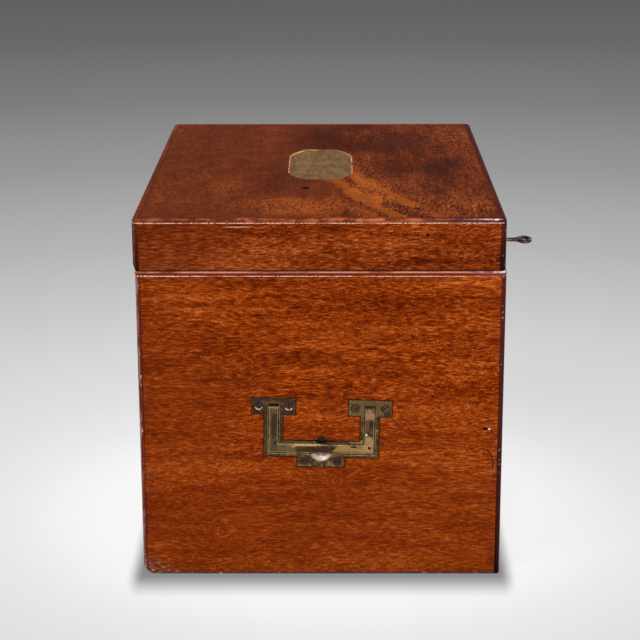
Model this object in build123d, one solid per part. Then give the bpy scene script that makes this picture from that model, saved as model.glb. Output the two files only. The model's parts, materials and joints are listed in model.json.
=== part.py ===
from build123d import *
import os
from math import cos, radians, sin

# A mahogany decanter box with a hinged lid, a lock and a folding handle at each end.
# Millimetres. Origin at the centre of the underside, +Z up, the lock side faces -Y.

# Outside of the case
body_length = 373.0
body_depth = 259.0
rim_height = 227.7
wall = 12.0
corner_radius = 3.0

# Outside of the lid, which stands a little proud of the body at the ends and the back
lid_end_overhang = 0.5
lid_extra_depth = 1.0
lid_set_back = 1.0
lid_gap = 0.3
lid_height = 37.0
lid_wall = 12.0
lid_corner_radius = 5.0
lid_edge_radius = 2.4
lid_top_thickness = 8.0
lid_edge_band = 5.0
lid_bevel_depth = 1.9
lid_bevel_height = 4.5

# Edge bead round the rim, and the fine grooves that set every edge off
bead_height = 3.0
bead_width = 5.0
bead_proud = 0.3
bead_round = 1.3
quirk_depth = 0.5
quirk_width = 0.6
quirk_inset = 3.2

# Bottom, baize and dividers
base_thickness = 10.0
base_rebate = 6.0
floor_baize = 2.0
side_baize = 1.2
lid_baize = 2.0
soft_gap = 0.1
cell_columns_count = 3
cell_rows_count = 2
divider_thickness = 6.0
divider_height = 150.0
divider_round = 2.5
divider_fit = 0.1
baize_below_divider_top = 5.0

# Brass name plate let into the top
plate_width = 50.0
plate_length = 119.0
plate_side_length = 58.0
plate_end_width = 24.0
plate_bulge = 3.0
plate_thickness = 1.2
plate_shift = 6.0
inlay_gap = 0.1

# Hinges
hinge_inset = 71.5
hinge_length = 50.0
hinge_leaf_width = 11.5
hinge_leaf_thickness = 2.0
hinge_barrel_radius = 2.75
hinge_pin_radius = 1.2
hinge_running_fit = 0.04
hinge_knuckles = 5
hinge_knuckle_gap = 0.2
hinge_clearance = 0.3
heel_gap = 0.2
heel_depth = 1.25
heel_angle = 48.0
hinge_screw_head = 5.4
hinge_screw_shank = 2.8
hinge_screw_length = 9.0
hinge_screw_pitch = 16.0

# Handles: sizes in the handle's own plane, x to the right, y up, z outwards
handle_height = 127.8
left_handle_offset = -0.8
right_handle_offset = 0.0
left_handle_tilt = 1.5
right_handle_tilt = 0.0
ear_spread = 68.6
ear_width = 31.0
ear_height = 12.2
leg_width = 13.4
bar_top = -25.3
bar_height = 12.1
tab_width = 34.4
tab_drop = 7.6
handle_plate_thickness = 5.5
handle_plate_proud = 0.2
bump_radius = 3.2
bump_rise = 0.6
channel_depth = 4.0
channel_gap = 0.25
bail_width = 7.5
bail_thickness = 4.2
bail_floor_gap = 0.1
bail_bar_inset = 2.3
bail_bevel = 0.8
bail_pivot_drop = 2.4
bail_slot_rise = 1.7
bail_pin_radius = 1.0
bail_pin_length = 13.0
bail_running_fit = 0.05
scoop_radius = 7.9
scoop_depth = 4.6
scoop_height = -33.0
handle_screw_head = 6.2
handle_screw_shank = 3.0
handle_screw_length = 11.0
ear_screw_spread = 21.4
tab_screw_spread = 23.6
tab_screw_height = -40.4

# Lock, let into the inner face and the rim of the front board
key_axis_drop = 22.7
lock_plate_thickness = 1.5
lock_plate_length = 72.0
lock_plate_foot = 15.0
selvedge_thickness = 2.0
lock_cavity = 6.0
lock_case_wall = 1.0
lock_case_length = 58.0
lock_case_foot = 11.0
bolt_clearance = 0.3
bolt_length_left = 25.2
bolt_length_right = 14.0
bolt_bottom = 3.5
bolt_bar_height = 8.0
bolt_finger_width = 4.0
bolt_prong_length = 4.6
bolt_prong_thickness = 2.2
bolt_prong_height = 3.7
spring_left = 11.0
spring_right = 1.0
spring_thickness = 0.5
spring_foot_height = 5.0
link_spread = 30.0
link_thickness = 2.0
link_drop = 9.5
link_width = 5.2
link_eye_width = 3.0
link_eye_height = 4.5
link_eye_margin = 1.3
link_slot_gap = 0.5
link_plate_length = 60.0
link_plate_width = 8.5
link_plate_thickness = 1.6
lock_screw_head = 4.6
lock_screw_shank = 2.4
lock_screw_length = 7.0
bolt_throw = 6.0
key_rest_turn = 90.0
bit_radius = 6.5
bit_thickness = 1.8
bit_clearance = 0.3
bit_side_gap = 0.4
talon_width = 11.0
key_stem_radius = 1.6
drill_pin_radius = 0.8
drill_pin_fit = 0.05
key_bore_spare = 1.0
key_reach = 37.1
key_bow_length = 12.0
key_bow_width = 17.0
key_bow_stock = 2.8
key_bow_edge = 0.7
key_collar_radius = 2.2
key_collar_length = 1.2
key_collar_gap = 1.0
keyhole_gap = 0.3
escutcheon_rim = 1.3

# Screws
countersink_depth = 1.7
slot_width = 0.7
slot_depth = 0.5

# Places worked out from the sizes above
lid_length = body_length + 2 * lid_end_overhang
lid_depth = body_depth + lid_extra_depth
lid_bottom = rim_height + lid_gap
lid_top = lid_bottom + lid_height
front_face = -body_depth / 2
lid_back_face = lid_set_back + lid_depth / 2
inner_length = body_length - 2 * wall
inner_depth = body_depth - 2 * wall
floor_top = base_thickness + floor_baize
divider_top = floor_top + divider_height
hinge_axis_y = lid_back_face
hinge_axis_z = rim_height + lid_gap / 2
key_axis_z = rim_height - key_axis_drop

os.makedirs("parts", exist_ok=True)


def save(name, *pieces):
    """Writes one node, of one solid or of several separate ones."""
    solids = []
    for piece in pieces:
        solids.extend(piece.solids())
    shape = solids[0] if len(solids) == 1 else Compound(children=solids)
    export_step(shape, f"parts/{name}.step")


def block(x, y, z):
    """Box between three pairs of limits."""
    centre = ((x[0] + x[1]) / 2, (y[0] + y[1]) / 2, (z[0] + z[1]) / 2)
    return Pos(*centre) * Box(x[1] - x[0], y[1] - y[0], z[1] - z[0])


def span(centre, size):
    """Pair of limits either side of a centre."""
    return centre - size / 2, centre + size / 2


def rounded_slab(length, depth, radius, centre_y, low, high):
    """Upright slab with rounded corners, seen from above."""
    outline = RectangleRounded(length, depth, radius)
    return Pos(0, centre_y, low) * extrude(outline, high - low)


def mitred(ring, length, depth, centre_y, low, high):
    """Cuts a ring into its front, back, left and right sides, mitred at the corners."""
    spare = 5.0
    a = length / 2 + spare
    b = depth / 2 + spare
    ridge = a - b
    outlines = {
        "front": [(-a, -b), (a, -b), (ridge, 0), (-ridge, 0)],
        "back": [(-a, b), (a, b), (ridge, 0), (-ridge, 0)],
        "left": [(-a, -b), (-ridge, 0), (-a, b)],
        "right": [(a, -b), (ridge, 0), (a, b)],
    }
    sides = {}
    for side, outline in outlines.items():
        wedge = extrude(make_face(Polyline(*outline, close=True)), high - low)
        sides[side] = ring & (Pos(0, centre_y, low) * wedge)
    return sides


def corner_quirks(length, depth, centre_y, low, high):
    """Fine upright grooves beside each outer corner, one on each face."""
    cuts = []
    for side_x in (-1, 1):
        for side_y in (-1, 1):
            edge_x = side_x * length / 2
            edge_y = centre_y + side_y * depth / 2
            near_x = side_x * (length / 2 - quirk_inset - quirk_width / 2)
            near_y = centre_y + side_y * (depth / 2 - quirk_inset - quirk_width / 2)
            cuts.append(block(span(near_x, quirk_width), span(edge_y, 2 * quirk_depth), (low, high)))
            cuts.append(block(span(edge_x, 2 * quirk_depth), span(near_y, quirk_width), (low, high)))
    return cuts


def level_quirk(length, depth, radius, centre_y, low):
    """Fine level groove all the way round."""
    margin = 1.0
    outer = rounded_slab(length + margin, depth + margin, radius, centre_y, low, low + quirk_width)
    inner = rounded_slab(length - 2 * quirk_depth, depth - 2 * quirk_depth, radius - quirk_depth, centre_y,
                         low, low + quirk_width)
    return outer - inner


def countersunk(places, head, shank, length, slots):
    """Screws with their heads at the given places. Without slots they are also the holes they fill."""
    cone = Pos(0, 0, -countersink_depth / 2) * Cone(shank / 2, head / 2, countersink_depth)
    stem_length = length - countersink_depth
    stem = Pos(0, 0, -countersink_depth - stem_length / 2) * Cylinder(shank / 2, stem_length)
    slot = Box(2 * head, slot_width, 2 * slot_depth)
    made = []
    for place, turn in places:
        screw = cone + stem
        if slots:
            screw -= Rot(0, 0, turn) * slot
        made.append(place * screw)
    return made


def drilled(piece, holes):
    """Takes every hole out of a piece."""
    for hole in holes:
        piece -= hole
    return piece


def half_round_bar(length, depth, centre_y, low, high):
    """Rim bead: a rounded ring let into the top outer edge of the body."""
    ring = rounded_slab(length, depth, corner_radius, centre_y, low, high)
    edges = ring.edges().filter_by_position(Axis.Z, low, low) + ring.edges().filter_by_position(Axis.Z, high, high)
    ring = fillet(edges, bead_round)
    hole_length = length - 2 * bead_width
    hole_depth = depth - 2 * bead_width
    return ring - block(span(0, hole_length), span(centre_y, hole_depth), (low, high))


# Hinges: the leaves lie in the rim and in the underside of the lid, the barrel stands at the back

def hinge_stations():
    """Centres of the two hinges along X."""
    reach = body_length / 2 - hinge_inset
    return {"left": -reach, "right": reach}


def on_hinge_axis(centre_x, radius, length):
    """Cylinder on the hinge axis."""
    return Pos(centre_x, hinge_axis_y, hinge_axis_z) * Rot(0, 90, 0) * Cylinder(radius, length)


def knuckle_spans(centre_x, which):
    """Stretches of the barrel that belong to the body (0) or to the lid (1)."""
    pitch = hinge_length / hinge_knuckles
    spans = []
    for number in range(hinge_knuckles):
        if number % 2 == which:
            middle = centre_x - hinge_length / 2 + (number + 0.5) * pitch
            spans.append(span(middle, pitch - hinge_knuckle_gap))
    return spans


def sector(centre_x, length, inner, outer, start, end):
    """Part of a tube on the hinge axis, between two angles measured up from the back."""
    middle = (start + end) / 2
    points = []
    for radius, angle in ((inner, start), (outer, start), (outer, middle), (outer, end), (inner, end), (inner, middle)):
        points.append((radius * cos(radians(angle)), radius * sin(radians(angle))))
    first, far_start, far_middle, far_end, last, near_middle = points
    outline = Line(first, far_start) + ThreePointArc(far_start, far_middle, far_end)
    outline += Line(far_end, last) + ThreePointArc(last, near_middle, first)
    flat = Plane(origin=(centre_x - length / 2, hinge_axis_y, hinge_axis_z), x_dir=(0, 1, 0), z_dir=(1, 0, 0))
    return extrude(flat * make_face(outline), length)


def hinge_leaf(centre_x, which):
    """One leaf with its knuckles and the stop heel that holds the open lid."""
    upper = which == 1
    low = lid_bottom if upper else rim_height - hinge_leaf_thickness
    leaf = block(span(centre_x, hinge_length), (hinge_axis_y - hinge_leaf_width, hinge_axis_y),
                 (low, low + hinge_leaf_thickness))
    for other in knuckle_spans(centre_x, 1 - which):
        middle = sum(other) / 2
        width = other[1] - other[0] + 2 * hinge_knuckle_gap
        leaf -= on_hinge_axis(middle, hinge_barrel_radius + heel_gap, width)
    start, end = (heel_angle, 90) if upper else (-90, -heel_angle)
    heel_inner = hinge_barrel_radius + heel_gap
    leaf += sector(centre_x, hinge_length, heel_inner, heel_inner + heel_depth, start, end)
    for own in knuckle_spans(centre_x, which):
        middle = sum(own) / 2
        width = own[1] - own[0]
        leaf += on_hinge_axis(middle, hinge_barrel_radius, width)
        leaf += sector(middle, width, hinge_barrel_radius / 2, heel_inner + heel_depth, start, end)
    bore = hinge_pin_radius + (hinge_running_fit if upper else 0)
    return leaf - on_hinge_axis(centre_x, bore, hinge_length + 1)


def hinge_screws(centre_x, which, slots=False):
    """The three screws of one leaf."""
    middle_y = hinge_axis_y - (hinge_leaf_width + hinge_barrel_radius) / 2
    level, flip = (lid_bottom, 180) if which == 1 else (rim_height, 0)
    places = []
    for number in (-1, 0, 1):
        place = Pos(centre_x + number * hinge_screw_pitch, middle_y, level) * Rot(flip, 0, 0)
        places.append((place, 25 + 50 * number))
    return countersunk(places, hinge_screw_head, hinge_screw_shank, hinge_screw_length, slots)


def hinge_mortise(centre_x, which):
    """Wood taken away for one leaf and for the barrel."""
    low = lid_bottom if which == 1 else rim_height - hinge_leaf_thickness
    spare = 5.0
    seat = block(span(centre_x, hinge_length), (hinge_axis_y - hinge_leaf_width, hinge_axis_y + spare),
                 (low, low + hinge_leaf_thickness))
    barrel = on_hinge_axis(centre_x, hinge_barrel_radius + hinge_clearance, hinge_length)
    return seat + barrel


# Handles

def handle_plane(end):
    """Plane of the wood at one end, x to the right and y up as seen from outside."""
    side = -1 if end == "left" else 1
    offset = left_handle_offset if end == "left" else right_handle_offset
    tilt = left_handle_tilt if end == "left" else right_handle_tilt
    across = (0, side * cos(radians(tilt)), -sin(radians(tilt)))
    return Plane(origin=(side * body_length / 2, offset, handle_height), x_dir=across, z_dir=(side, 0, 0))


def handle_outline(grow=0.0):
    """Outline of the plate: two eared legs, a bar between their feet and a tab below."""
    bar_bottom = bar_top - bar_height
    leg_length = -bar_bottom
    shape = Pos(0, (bar_top + bar_bottom) / 2) * Rectangle(ear_spread + leg_width + 2 * grow,
                                                           bar_height + 2 * grow)
    for side in (-1, 1):
        shape += Pos(side * ear_spread / 2, 0) * Rectangle(ear_width + 2 * grow, ear_height + 2 * grow)
        shape += Pos(side * ear_spread / 2, -leg_length / 2) * Rectangle(leg_width + 2 * grow,
                                                                         leg_length + 2 * grow)
    shape += Pos(0, bar_bottom - tab_drop / 2) * Rectangle(tab_width + 2 * grow, tab_drop + 2 * grow)
    shape += Pos(0, bar_top + bump_rise) * Circle(bump_radius + grow)
    return shape


def bail_outline(grow=0.0, top=0.0):
    """Outline of the bail: two legs and a bar, square at the corners."""
    bar_middle = bar_top - bail_bar_inset - bail_width / 2
    width = bail_width + 2 * grow
    shape = Pos(0, bar_middle) * Rectangle(ear_spread + width, width)
    leg_length = top - bar_middle + width / 2
    for side in (-1, 1):
        shape += Pos(side * ear_spread / 2, top - leg_length / 2) * Rectangle(width, leg_length)
    return shape


def bail_pivot():
    """Height of the pivot in the handle's plane, and how far it lies below the plate's face."""
    depth = channel_depth - bail_floor_gap - bail_thickness / 2
    return -bail_pivot_drop, depth


def handle_plate():
    """Cast plate with the channel that the bail folds into, in the handle's own plane."""
    face = handle_plate_proud
    plate = Pos(0, 0, face - handle_plate_thickness) * extrude(handle_outline(), handle_plate_thickness)
    channel = bail_outline(channel_gap, bail_slot_rise)
    plate -= Pos(0, 0, face - channel_depth) * extrude(channel, channel_depth + 1)
    ball = (scoop_radius ** 2 + scoop_depth ** 2) / (2 * scoop_depth)
    plate -= Pos(0, scoop_height, face + ball - scoop_depth) * Sphere(ball)
    pivot_y, pivot_depth = bail_pivot()
    for side in (-1, 1):
        pin = Pos(side * ear_spread / 2, pivot_y, face - pivot_depth) * Rot(0, 90, 0)
        plate -= pin * Cylinder(bail_pin_radius, bail_pin_length)
    return drilled(plate, handle_screws())


def handle_bail():
    """Folding grip, in the handle's own plane. Its square top ends stop it when it stands straight out."""
    pivot_y, pivot_depth = bail_pivot()
    face = handle_plate_proud
    low = face - channel_depth + bail_floor_gap
    half = bail_thickness / 2
    bail = Pos(0, 0, low) * extrude(bail_outline(0, pivot_y + half), bail_thickness)
    top_edges = bail.faces().sort_by(Axis.Z)[-1].edges()
    bail = chamfer(top_edges, bail_bevel)
    for side in (-1, 1):
        place = Pos(side * ear_spread / 2, pivot_y, face - pivot_depth)
        corner = block(span(0, bail_width + 1), (0, half + 1), (-half - 1, 0))
        corner -= Rot(0, 90, 0) * Cylinder(half, bail_width + 2)
        bail -= place * corner
        bail -= place * Rot(0, 90, 0) * Cylinder(bail_pin_radius + bail_running_fit, bail_width + 2)
    return bail


def handle_pins():
    """Two pivot pins through the ears."""
    pivot_y, pivot_depth = bail_pivot()
    pins = []
    for side in (-1, 1):
        place = Pos(side * ear_spread / 2, pivot_y, handle_plate_proud - pivot_depth)
        pins.append(place * Rot(0, 90, 0) * Cylinder(bail_pin_radius, bail_pin_length))
    return pins


def handle_screws(slots=False):
    """Two screws in each ear and two in the tab, in the handle's own plane."""
    places = []
    for ear in (-1, 1):
        for side in (-1, 1):
            x = (ear * ear_spread + side * ear_screw_spread) / 2
            places.append((Pos(x, 0, handle_plate_proud), 20 + 20 * ear))
    for side in (-1, 1):
        x = side * tab_screw_spread / 2
        places.append((Pos(x, tab_screw_height, handle_plate_proud), 65 - 25 * side))
    return countersunk(places, handle_screw_head, handle_screw_shank, handle_screw_length, slots)


# Lock: x along the front, y through the board and z up, worked out from the key's axis

lock_inner_face = front_face + wall
cavity_back = lock_inner_face - lock_plate_thickness
cavity_front = cavity_back - lock_cavity
case_front = cavity_front - lock_case_wall
cavity_middle = (cavity_back + cavity_front) / 2
selvedge_low = rim_height - selvedge_thickness


def along_key(radius, start, end, x=0.0):
    """Cylinder parallel to the key's axis."""
    return Pos(x, (start + end) / 2, key_axis_z) * Rot(90, 0, 0) * Cylinder(radius, abs(end - start))


def keyhole(start, end, grow):
    """Keyhole: a round hole with a slot below it for the bit."""
    stem = along_key(key_stem_radius + grow, start, end)
    slot = block(span(0, bit_thickness + 2 * grow), (start, end), (key_axis_z - bit_radius - grow, key_axis_z))
    return stem + slot


def link_places():
    """Centres of the two links along X."""
    return (-link_spread / 2, link_spread / 2)


def lock_screws(slots=False):
    """The four screws of the lock plate, heads flush with its inner face."""
    reach = (lock_plate_length + lock_case_length) / 4
    heights = (key_axis_z - lock_plate_foot / 2, selvedge_low - lock_plate_foot / 2)
    places = []
    for side in (-1, 1):
        for height in heights:
            places.append((Pos(side * reach, lock_inner_face, height) * Rot(-90, 0, 0), 35 * side))
    return countersunk(places, lock_screw_head, lock_screw_shank, lock_screw_length, slots)


def lock_plate():
    """Brass plate on the inner face, with the selvedge bent over the rim and guides for the bolt."""
    low = key_axis_z - lock_plate_foot
    plate = block(span(0, lock_plate_length), (cavity_back, lock_inner_face), (low, rim_height))
    plate += block(span(0, lock_plate_length), (case_front, lock_inner_face), (selvedge_low, rim_height))
    for x in link_places():
        plate -= block(span(x, link_thickness + 2 * link_slot_gap), (cavity_front, cavity_back),
                       (selvedge_low, rim_height))
    guide_top = key_axis_z + bolt_bottom - bolt_clearance
    guide_x = bit_radius + bolt_throw
    for side in (-1, 1):
        plate += block(span(side * guide_x, bit_thickness), (cavity_front + bolt_clearance, cavity_back),
                       (guide_top - bit_thickness, guide_top))
    plate -= along_key(drill_pin_radius, cavity_back, lock_inner_face)
    return drilled(plate, lock_screws())


def lock_seat():
    """Wood taken away for the plate, the selvedge and the works."""
    seat = block(span(0, lock_plate_length), (cavity_back, lock_inner_face),
                 (key_axis_z - lock_plate_foot, rim_height))
    seat += block(span(0, lock_plate_length), (case_front, lock_inner_face), (selvedge_low, rim_height))
    seat += block(span(0, lock_case_length), (case_front, cavity_back),
                  (key_axis_z - lock_case_foot, rim_height))
    return seat


def lock_case():
    """Folded cover of the works, open towards the plate and the selvedge."""
    low = key_axis_z - lock_case_foot
    cover = block(span(0, lock_case_length), (case_front, cavity_back), (low, selvedge_low))
    inside = lock_case_length - 2 * lock_case_wall
    cover -= block(span(0, inside), (cavity_front, cavity_back), (low + lock_case_wall, selvedge_low))
    return cover - keyhole(case_front, cavity_front, keyhole_gap)


def lock_bolt():
    """Sliding bolt: a bar with the talon for the bit and two fingers with prongs for the links."""
    thick = (cavity_front + bolt_clearance, cavity_back - bolt_clearance)
    low = key_axis_z + bolt_bottom
    bar_top_z = low + bolt_bar_height
    bolt = block((-bolt_length_left, bolt_length_right), thick, (low, bar_top_z))
    eye_top = lid_bottom - link_drop + link_eye_margin + link_eye_height
    prong_gap = (link_eye_height - bolt_prong_height) / 2
    prong = (eye_top - prong_gap - bolt_prong_height, eye_top - prong_gap)
    for x in link_places():
        tip = x - link_thickness / 2 - link_slot_gap
        heel = tip - bolt_prong_length
        bolt += block((heel - bolt_finger_width, heel), span(cavity_middle, bolt_prong_thickness),
                      (low, prong[1]))
        bolt += block((heel - bolt_finger_width, tip), span(cavity_middle, bolt_prong_thickness), prong)
    talon_x = -bolt_throw * (0.5 - key_rest_turn / 360)
    bolt -= block(span(talon_x, talon_width), thick, (low, key_axis_z + bit_radius + bit_clearance))
    return bolt


def lock_spring():
    """Thin leaf that presses the bolt: a foot on the plate and a blade along the bolt's top edge."""
    blade_low = key_axis_z + bolt_bottom + bolt_bar_height + bolt_clearance
    blade = block((-spring_left, spring_right), (cavity_middle, cavity_back - bolt_clearance),
                  (blade_low, blade_low + spring_thickness))
    foot = block((spring_right - spring_thickness, spring_right), (cavity_middle, cavity_back),
                 (blade_low, blade_low + spring_foot_height))
    return blade + foot


def link_seat():
    """Room for the link plate, which lies flush in the front rail of the lid."""
    return block(span(0, link_plate_length), span(cavity_middle, link_plate_width),
                 (lid_bottom, lid_bottom + link_plate_thickness))


def link_plate():
    """Plate under the lid with two eyed links that drop into the lock."""
    plate = link_seat()
    link_low = lid_bottom - link_drop
    for x in link_places():
        link = block(span(x, link_thickness), span(cavity_middle, link_width), (link_low, lid_bottom))
        eye_low = link_low + link_eye_margin
        link -= block(span(x, link_thickness + 1), span(cavity_middle, link_eye_width),
                      (eye_low, eye_low + link_eye_height))
        plate += link
    return drilled(plate, link_screws())


def link_screws(slots=False):
    """Two screws that hold the link plate to the lid."""
    reach = (link_plate_length + link_spread) / 4
    places = []
    for side in (-1, 1):
        places.append((Pos(side * reach, cavity_middle, lid_bottom) * Rot(180, 0, 0), 60 * side))
    return countersunk(places, lock_screw_head, lock_screw_shank, lock_screw_length, slots)


def key():
    """Pipe key, turned from the upright keyhole to its resting angle."""
    bit_back = cavity_back - bit_side_gap
    bit_front = cavity_front + bit_side_gap
    bow_end = front_face - key_reach
    bow_middle = bow_end + key_bow_length / 2
    stem_end = bow_end + key_bow_length - key_bow_stock / 2
    whole = along_key(key_stem_radius, bit_back, stem_end)
    whole += block(span(0, bit_thickness), (bit_front, bit_back), (key_axis_z - bit_radius, key_axis_z))
    collar_end = stem_end + key_collar_gap
    whole += along_key(key_collar_radius, collar_end, collar_end + key_collar_length)
    bow_plane = Plane(origin=(0, bow_middle, key_axis_z), x_dir=(0, 1, 0), z_dir=(1, 0, 0))
    ring = Ellipse(key_bow_length / 2, key_bow_width / 2)
    ring -= Ellipse(key_bow_length / 2 - key_bow_stock, key_bow_width / 2 - key_bow_stock)
    bow = Pos(-key_bow_stock / 2, 0, 0) * extrude(bow_plane * ring, key_bow_stock)
    bow = chamfer(bow.edges().filter_by(GeomType.ELLIPSE), key_bow_edge)
    whole += bow
    whole -= along_key(drill_pin_radius + drill_pin_fit, case_front - key_bore_spare, bit_back)
    turn = Pos(0, 0, key_axis_z) * Rot(0, key_rest_turn, 0) * Pos(0, 0, -key_axis_z)
    return turn * whole


# Wooden body

def body_boards():
    """Front, back and end boards, mitred, with the rebates for the bottom and the bead."""
    ring = rounded_slab(body_length, body_depth, corner_radius, 0, 0, rim_height)
    ring -= block(span(0, inner_length), span(0, inner_depth), (0, rim_height))
    ring -= block(span(0, inner_length + 2 * base_rebate), span(0, inner_depth + 2 * base_rebate),
                  (0, base_thickness))
    bead_low = rim_height - bead_height
    seat = bead_width - bead_proud
    ring -= rounded_slab(body_length + 2, body_depth + 2, corner_radius, 0, bead_low, rim_height) \
        - block(span(0, body_length - 2 * seat), span(0, body_depth - 2 * seat), (bead_low, rim_height))
    quirk_low = bead_low - quirk_width
    ring -= level_quirk(body_length, body_depth, corner_radius, 0, quirk_low)
    for cut in corner_quirks(body_length, body_depth, 0, 0, quirk_low):
        ring -= cut
    return mitred(ring, body_length, body_depth, 0, 0, rim_height)


def bead_strips():
    """The four mitred strips of the rim bead."""
    length = body_length + 2 * bead_proud
    depth = body_depth + 2 * bead_proud
    ring = half_round_bar(length, depth, 0, rim_height - bead_height, rim_height)
    return mitred(ring, length, depth, 0, rim_height - bead_height, rim_height)


def lid_blank():
    """The lid's outside with its rounded edges and grooves."""
    blank = rounded_slab(lid_length, lid_depth, lid_corner_radius, lid_set_back, lid_bottom, lid_top)
    blank = fillet(blank.faces().sort_by(Axis.Z)[-1].edges(), lid_edge_radius)
    quirk_low = lid_top - lid_edge_radius - quirk_width
    blank -= level_quirk(lid_length, lid_depth, lid_corner_radius, lid_set_back, quirk_low)
    for cut in corner_quirks(lid_length, lid_depth, lid_set_back, lid_bottom, quirk_low):
        blank -= cut
    bevel = make_face(Polyline((lid_back_face + 1, lid_bottom - 1), (lid_back_face - lid_bevel_depth, lid_bottom - 1),
                               (lid_back_face - lid_bevel_depth, lid_bottom),
                               (lid_back_face, lid_bottom + lid_bevel_height),
                               (lid_back_face + 1, lid_bottom + lid_bevel_height), close=True))
    flat = Plane(origin=(-lid_length, 0, 0), x_dir=(0, 1, 0), z_dir=(1, 0, 0))
    return blank - extrude(flat * bevel, 2 * lid_length)


def lid_limits(inset):
    """Limits of a rectangle inside the lid's outline, along X and Y."""
    return span(0, lid_length - 2 * inset), span(lid_set_back, lid_depth - 2 * inset)


def lid_rails():
    """The lid's four sides, mitred, with the rebate that holds the top."""
    seat = lid_top - lid_top_thickness
    rails = lid_blank()
    rails -= block(*lid_limits(lid_wall), (lid_bottom, seat))
    rails -= block(*lid_limits(lid_edge_band), (seat, lid_top))
    return mitred(rails, lid_length, lid_depth, lid_set_back, lid_bottom, lid_top)


def name_plate_outline(grow=0.0):
    """Long sides, a straight narrower end at each end and a swelling curve between them."""
    half_width = plate_width / 2 + grow
    half_side = plate_side_length / 2
    half_length = plate_length / 2 + grow
    half_end = plate_end_width / 2
    chord_x = half_length - half_side
    chord_y = half_end - half_width
    chord = (chord_x ** 2 + chord_y ** 2) ** 0.5
    middle_x = (half_side + half_length) / 2 - plate_bulge * chord_y / chord
    middle_y = (half_width + half_end) / 2 + plate_bulge * chord_x / chord
    outline = Line((-half_side, half_width), (half_side, half_width))
    outline += ThreePointArc((half_side, half_width), (middle_x, middle_y), (half_length, half_end))
    outline += Line((half_length, half_end), (half_length, -half_end))
    outline += ThreePointArc((half_length, -half_end), (middle_x, -middle_y), (half_side, -half_width))
    outline += Line((half_side, -half_width), (-half_side, -half_width))
    outline += ThreePointArc((-half_side, -half_width), (-middle_x, -middle_y), (-half_length, -half_end))
    outline += Line((-half_length, -half_end), (-half_length, half_end))
    outline += ThreePointArc((-half_length, half_end), (-middle_x, middle_y), (-half_side, half_width))
    return make_face(outline)


def name_plate(grow=0.0):
    """The plate, flush with the top, or with grow its seat."""
    return Pos(plate_shift, lid_set_back, lid_top - plate_thickness) * extrude(name_plate_outline(grow), plate_thickness)


# Inside

def cell_walls():
    """Limits of the cells along X and along Y."""
    def rows(length, count):
        size = (length - (count - 1) * divider_thickness) / count
        starts = [-length / 2 + number * (size + divider_thickness) for number in range(count)]
        return [(start, start + size) for start in starts]
    return rows(inner_length, cell_columns_count), rows(inner_depth, cell_rows_count)


def divider(along_x, centre):
    """One divider board with a rounded top edge, standing on the floor baize."""
    length = (inner_length if along_x else inner_depth) - 2 * divider_fit
    if along_x:
        board = block(span(0, length), span(centre, divider_thickness), (floor_top, divider_top))
        top_edges = board.faces().sort_by(Axis.Z)[-1].edges().filter_by(Axis.X)
    else:
        board = block(span(centre, divider_thickness), span(0, length), (floor_top, divider_top))
        top_edges = board.faces().sort_by(Axis.Z)[-1].edges().filter_by(Axis.Y)
    return fillet(top_edges, divider_round)


def dividers():
    """Dividers halved into each other where they cross."""
    cells_x, cells_y = cell_walls()
    centres_x = [(a[1] + b[0]) / 2 for a, b in zip(cells_x, cells_x[1:])]
    centres_y = [(a[1] + b[0]) / 2 for a, b in zip(cells_y, cells_y[1:])]
    half = floor_top + divider_height / 2
    notch = divider_thickness + 2 * divider_fit
    long_boards = []
    for y in centres_y:
        board = divider(True, y)
        for x in centres_x:
            board -= block(span(x, notch), span(y, notch), (half, divider_top))
        long_boards.append(board)
    cross_boards = []
    for x in centres_x:
        board = divider(False, x)
        for y in centres_y:
            board -= block(span(x, notch), span(y, notch), (floor_top, half + divider_fit))
        cross_boards.append(board)
    return long_boards, cross_boards


def cell_baize():
    """Baize on the four walls of every cell."""
    cells_x, cells_y = cell_walls()
    top = divider_top - baize_below_divider_top
    height = (floor_top, top)
    sheets = []
    for x in cells_x:
        for y in cells_y:
            sheets.append(block(x, (y[0], y[0] + side_baize), height))
            sheets.append(block(x, (y[1] - side_baize, y[1]), height))
            inner = (y[0] + side_baize, y[1] - side_baize)
            sheets.append(block((x[0], x[0] + side_baize), inner, height))
            sheets.append(block((x[1] - side_baize, x[1]), inner, height))
    return sheets


# Build

boards = body_boards()
beads = bead_strips()
rails = lid_rails()

for side, centre in hinge_stations().items():
    body_holes = hinge_screws(centre, 0)
    lid_holes = hinge_screws(centre, 1)
    for piece in (boards, beads):
        piece["back"] = drilled(piece["back"] - hinge_mortise(centre, 0), body_holes)
    rails["back"] = drilled(rails["back"] - hinge_mortise(centre, 1), lid_holes)
    save(f"{side}_hinge_body_leaf", drilled(hinge_leaf(centre, 0), body_holes))
    save(f"{side}_hinge_lid_leaf", drilled(hinge_leaf(centre, 1), lid_holes))
    save(f"{side}_hinge_pin", on_hinge_axis(centre, hinge_pin_radius, hinge_length))
    save(f"{side}_hinge_body_screws", *hinge_screws(centre, 0, True))
    save(f"{side}_hinge_lid_screws", *hinge_screws(centre, 1, True))

for end in ("left", "right"):
    plane = handle_plane(end)
    seat = Pos(0, 0, handle_plate_proud - handle_plate_thickness) * extrude(
        handle_outline(inlay_gap), handle_plate_thickness + 1)
    boards[end] = drilled(boards[end] - plane * seat, [plane * hole for hole in handle_screws()])
    save(f"{end}_handle_plate", plane * handle_plate())
    save(f"{end}_handle_bail", plane * handle_bail())
    save(f"{end}_handle_pins", *[plane * pin for pin in handle_pins()])
    save(f"{end}_handle_screws", *[plane * screw for screw in handle_screws(True)])

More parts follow.
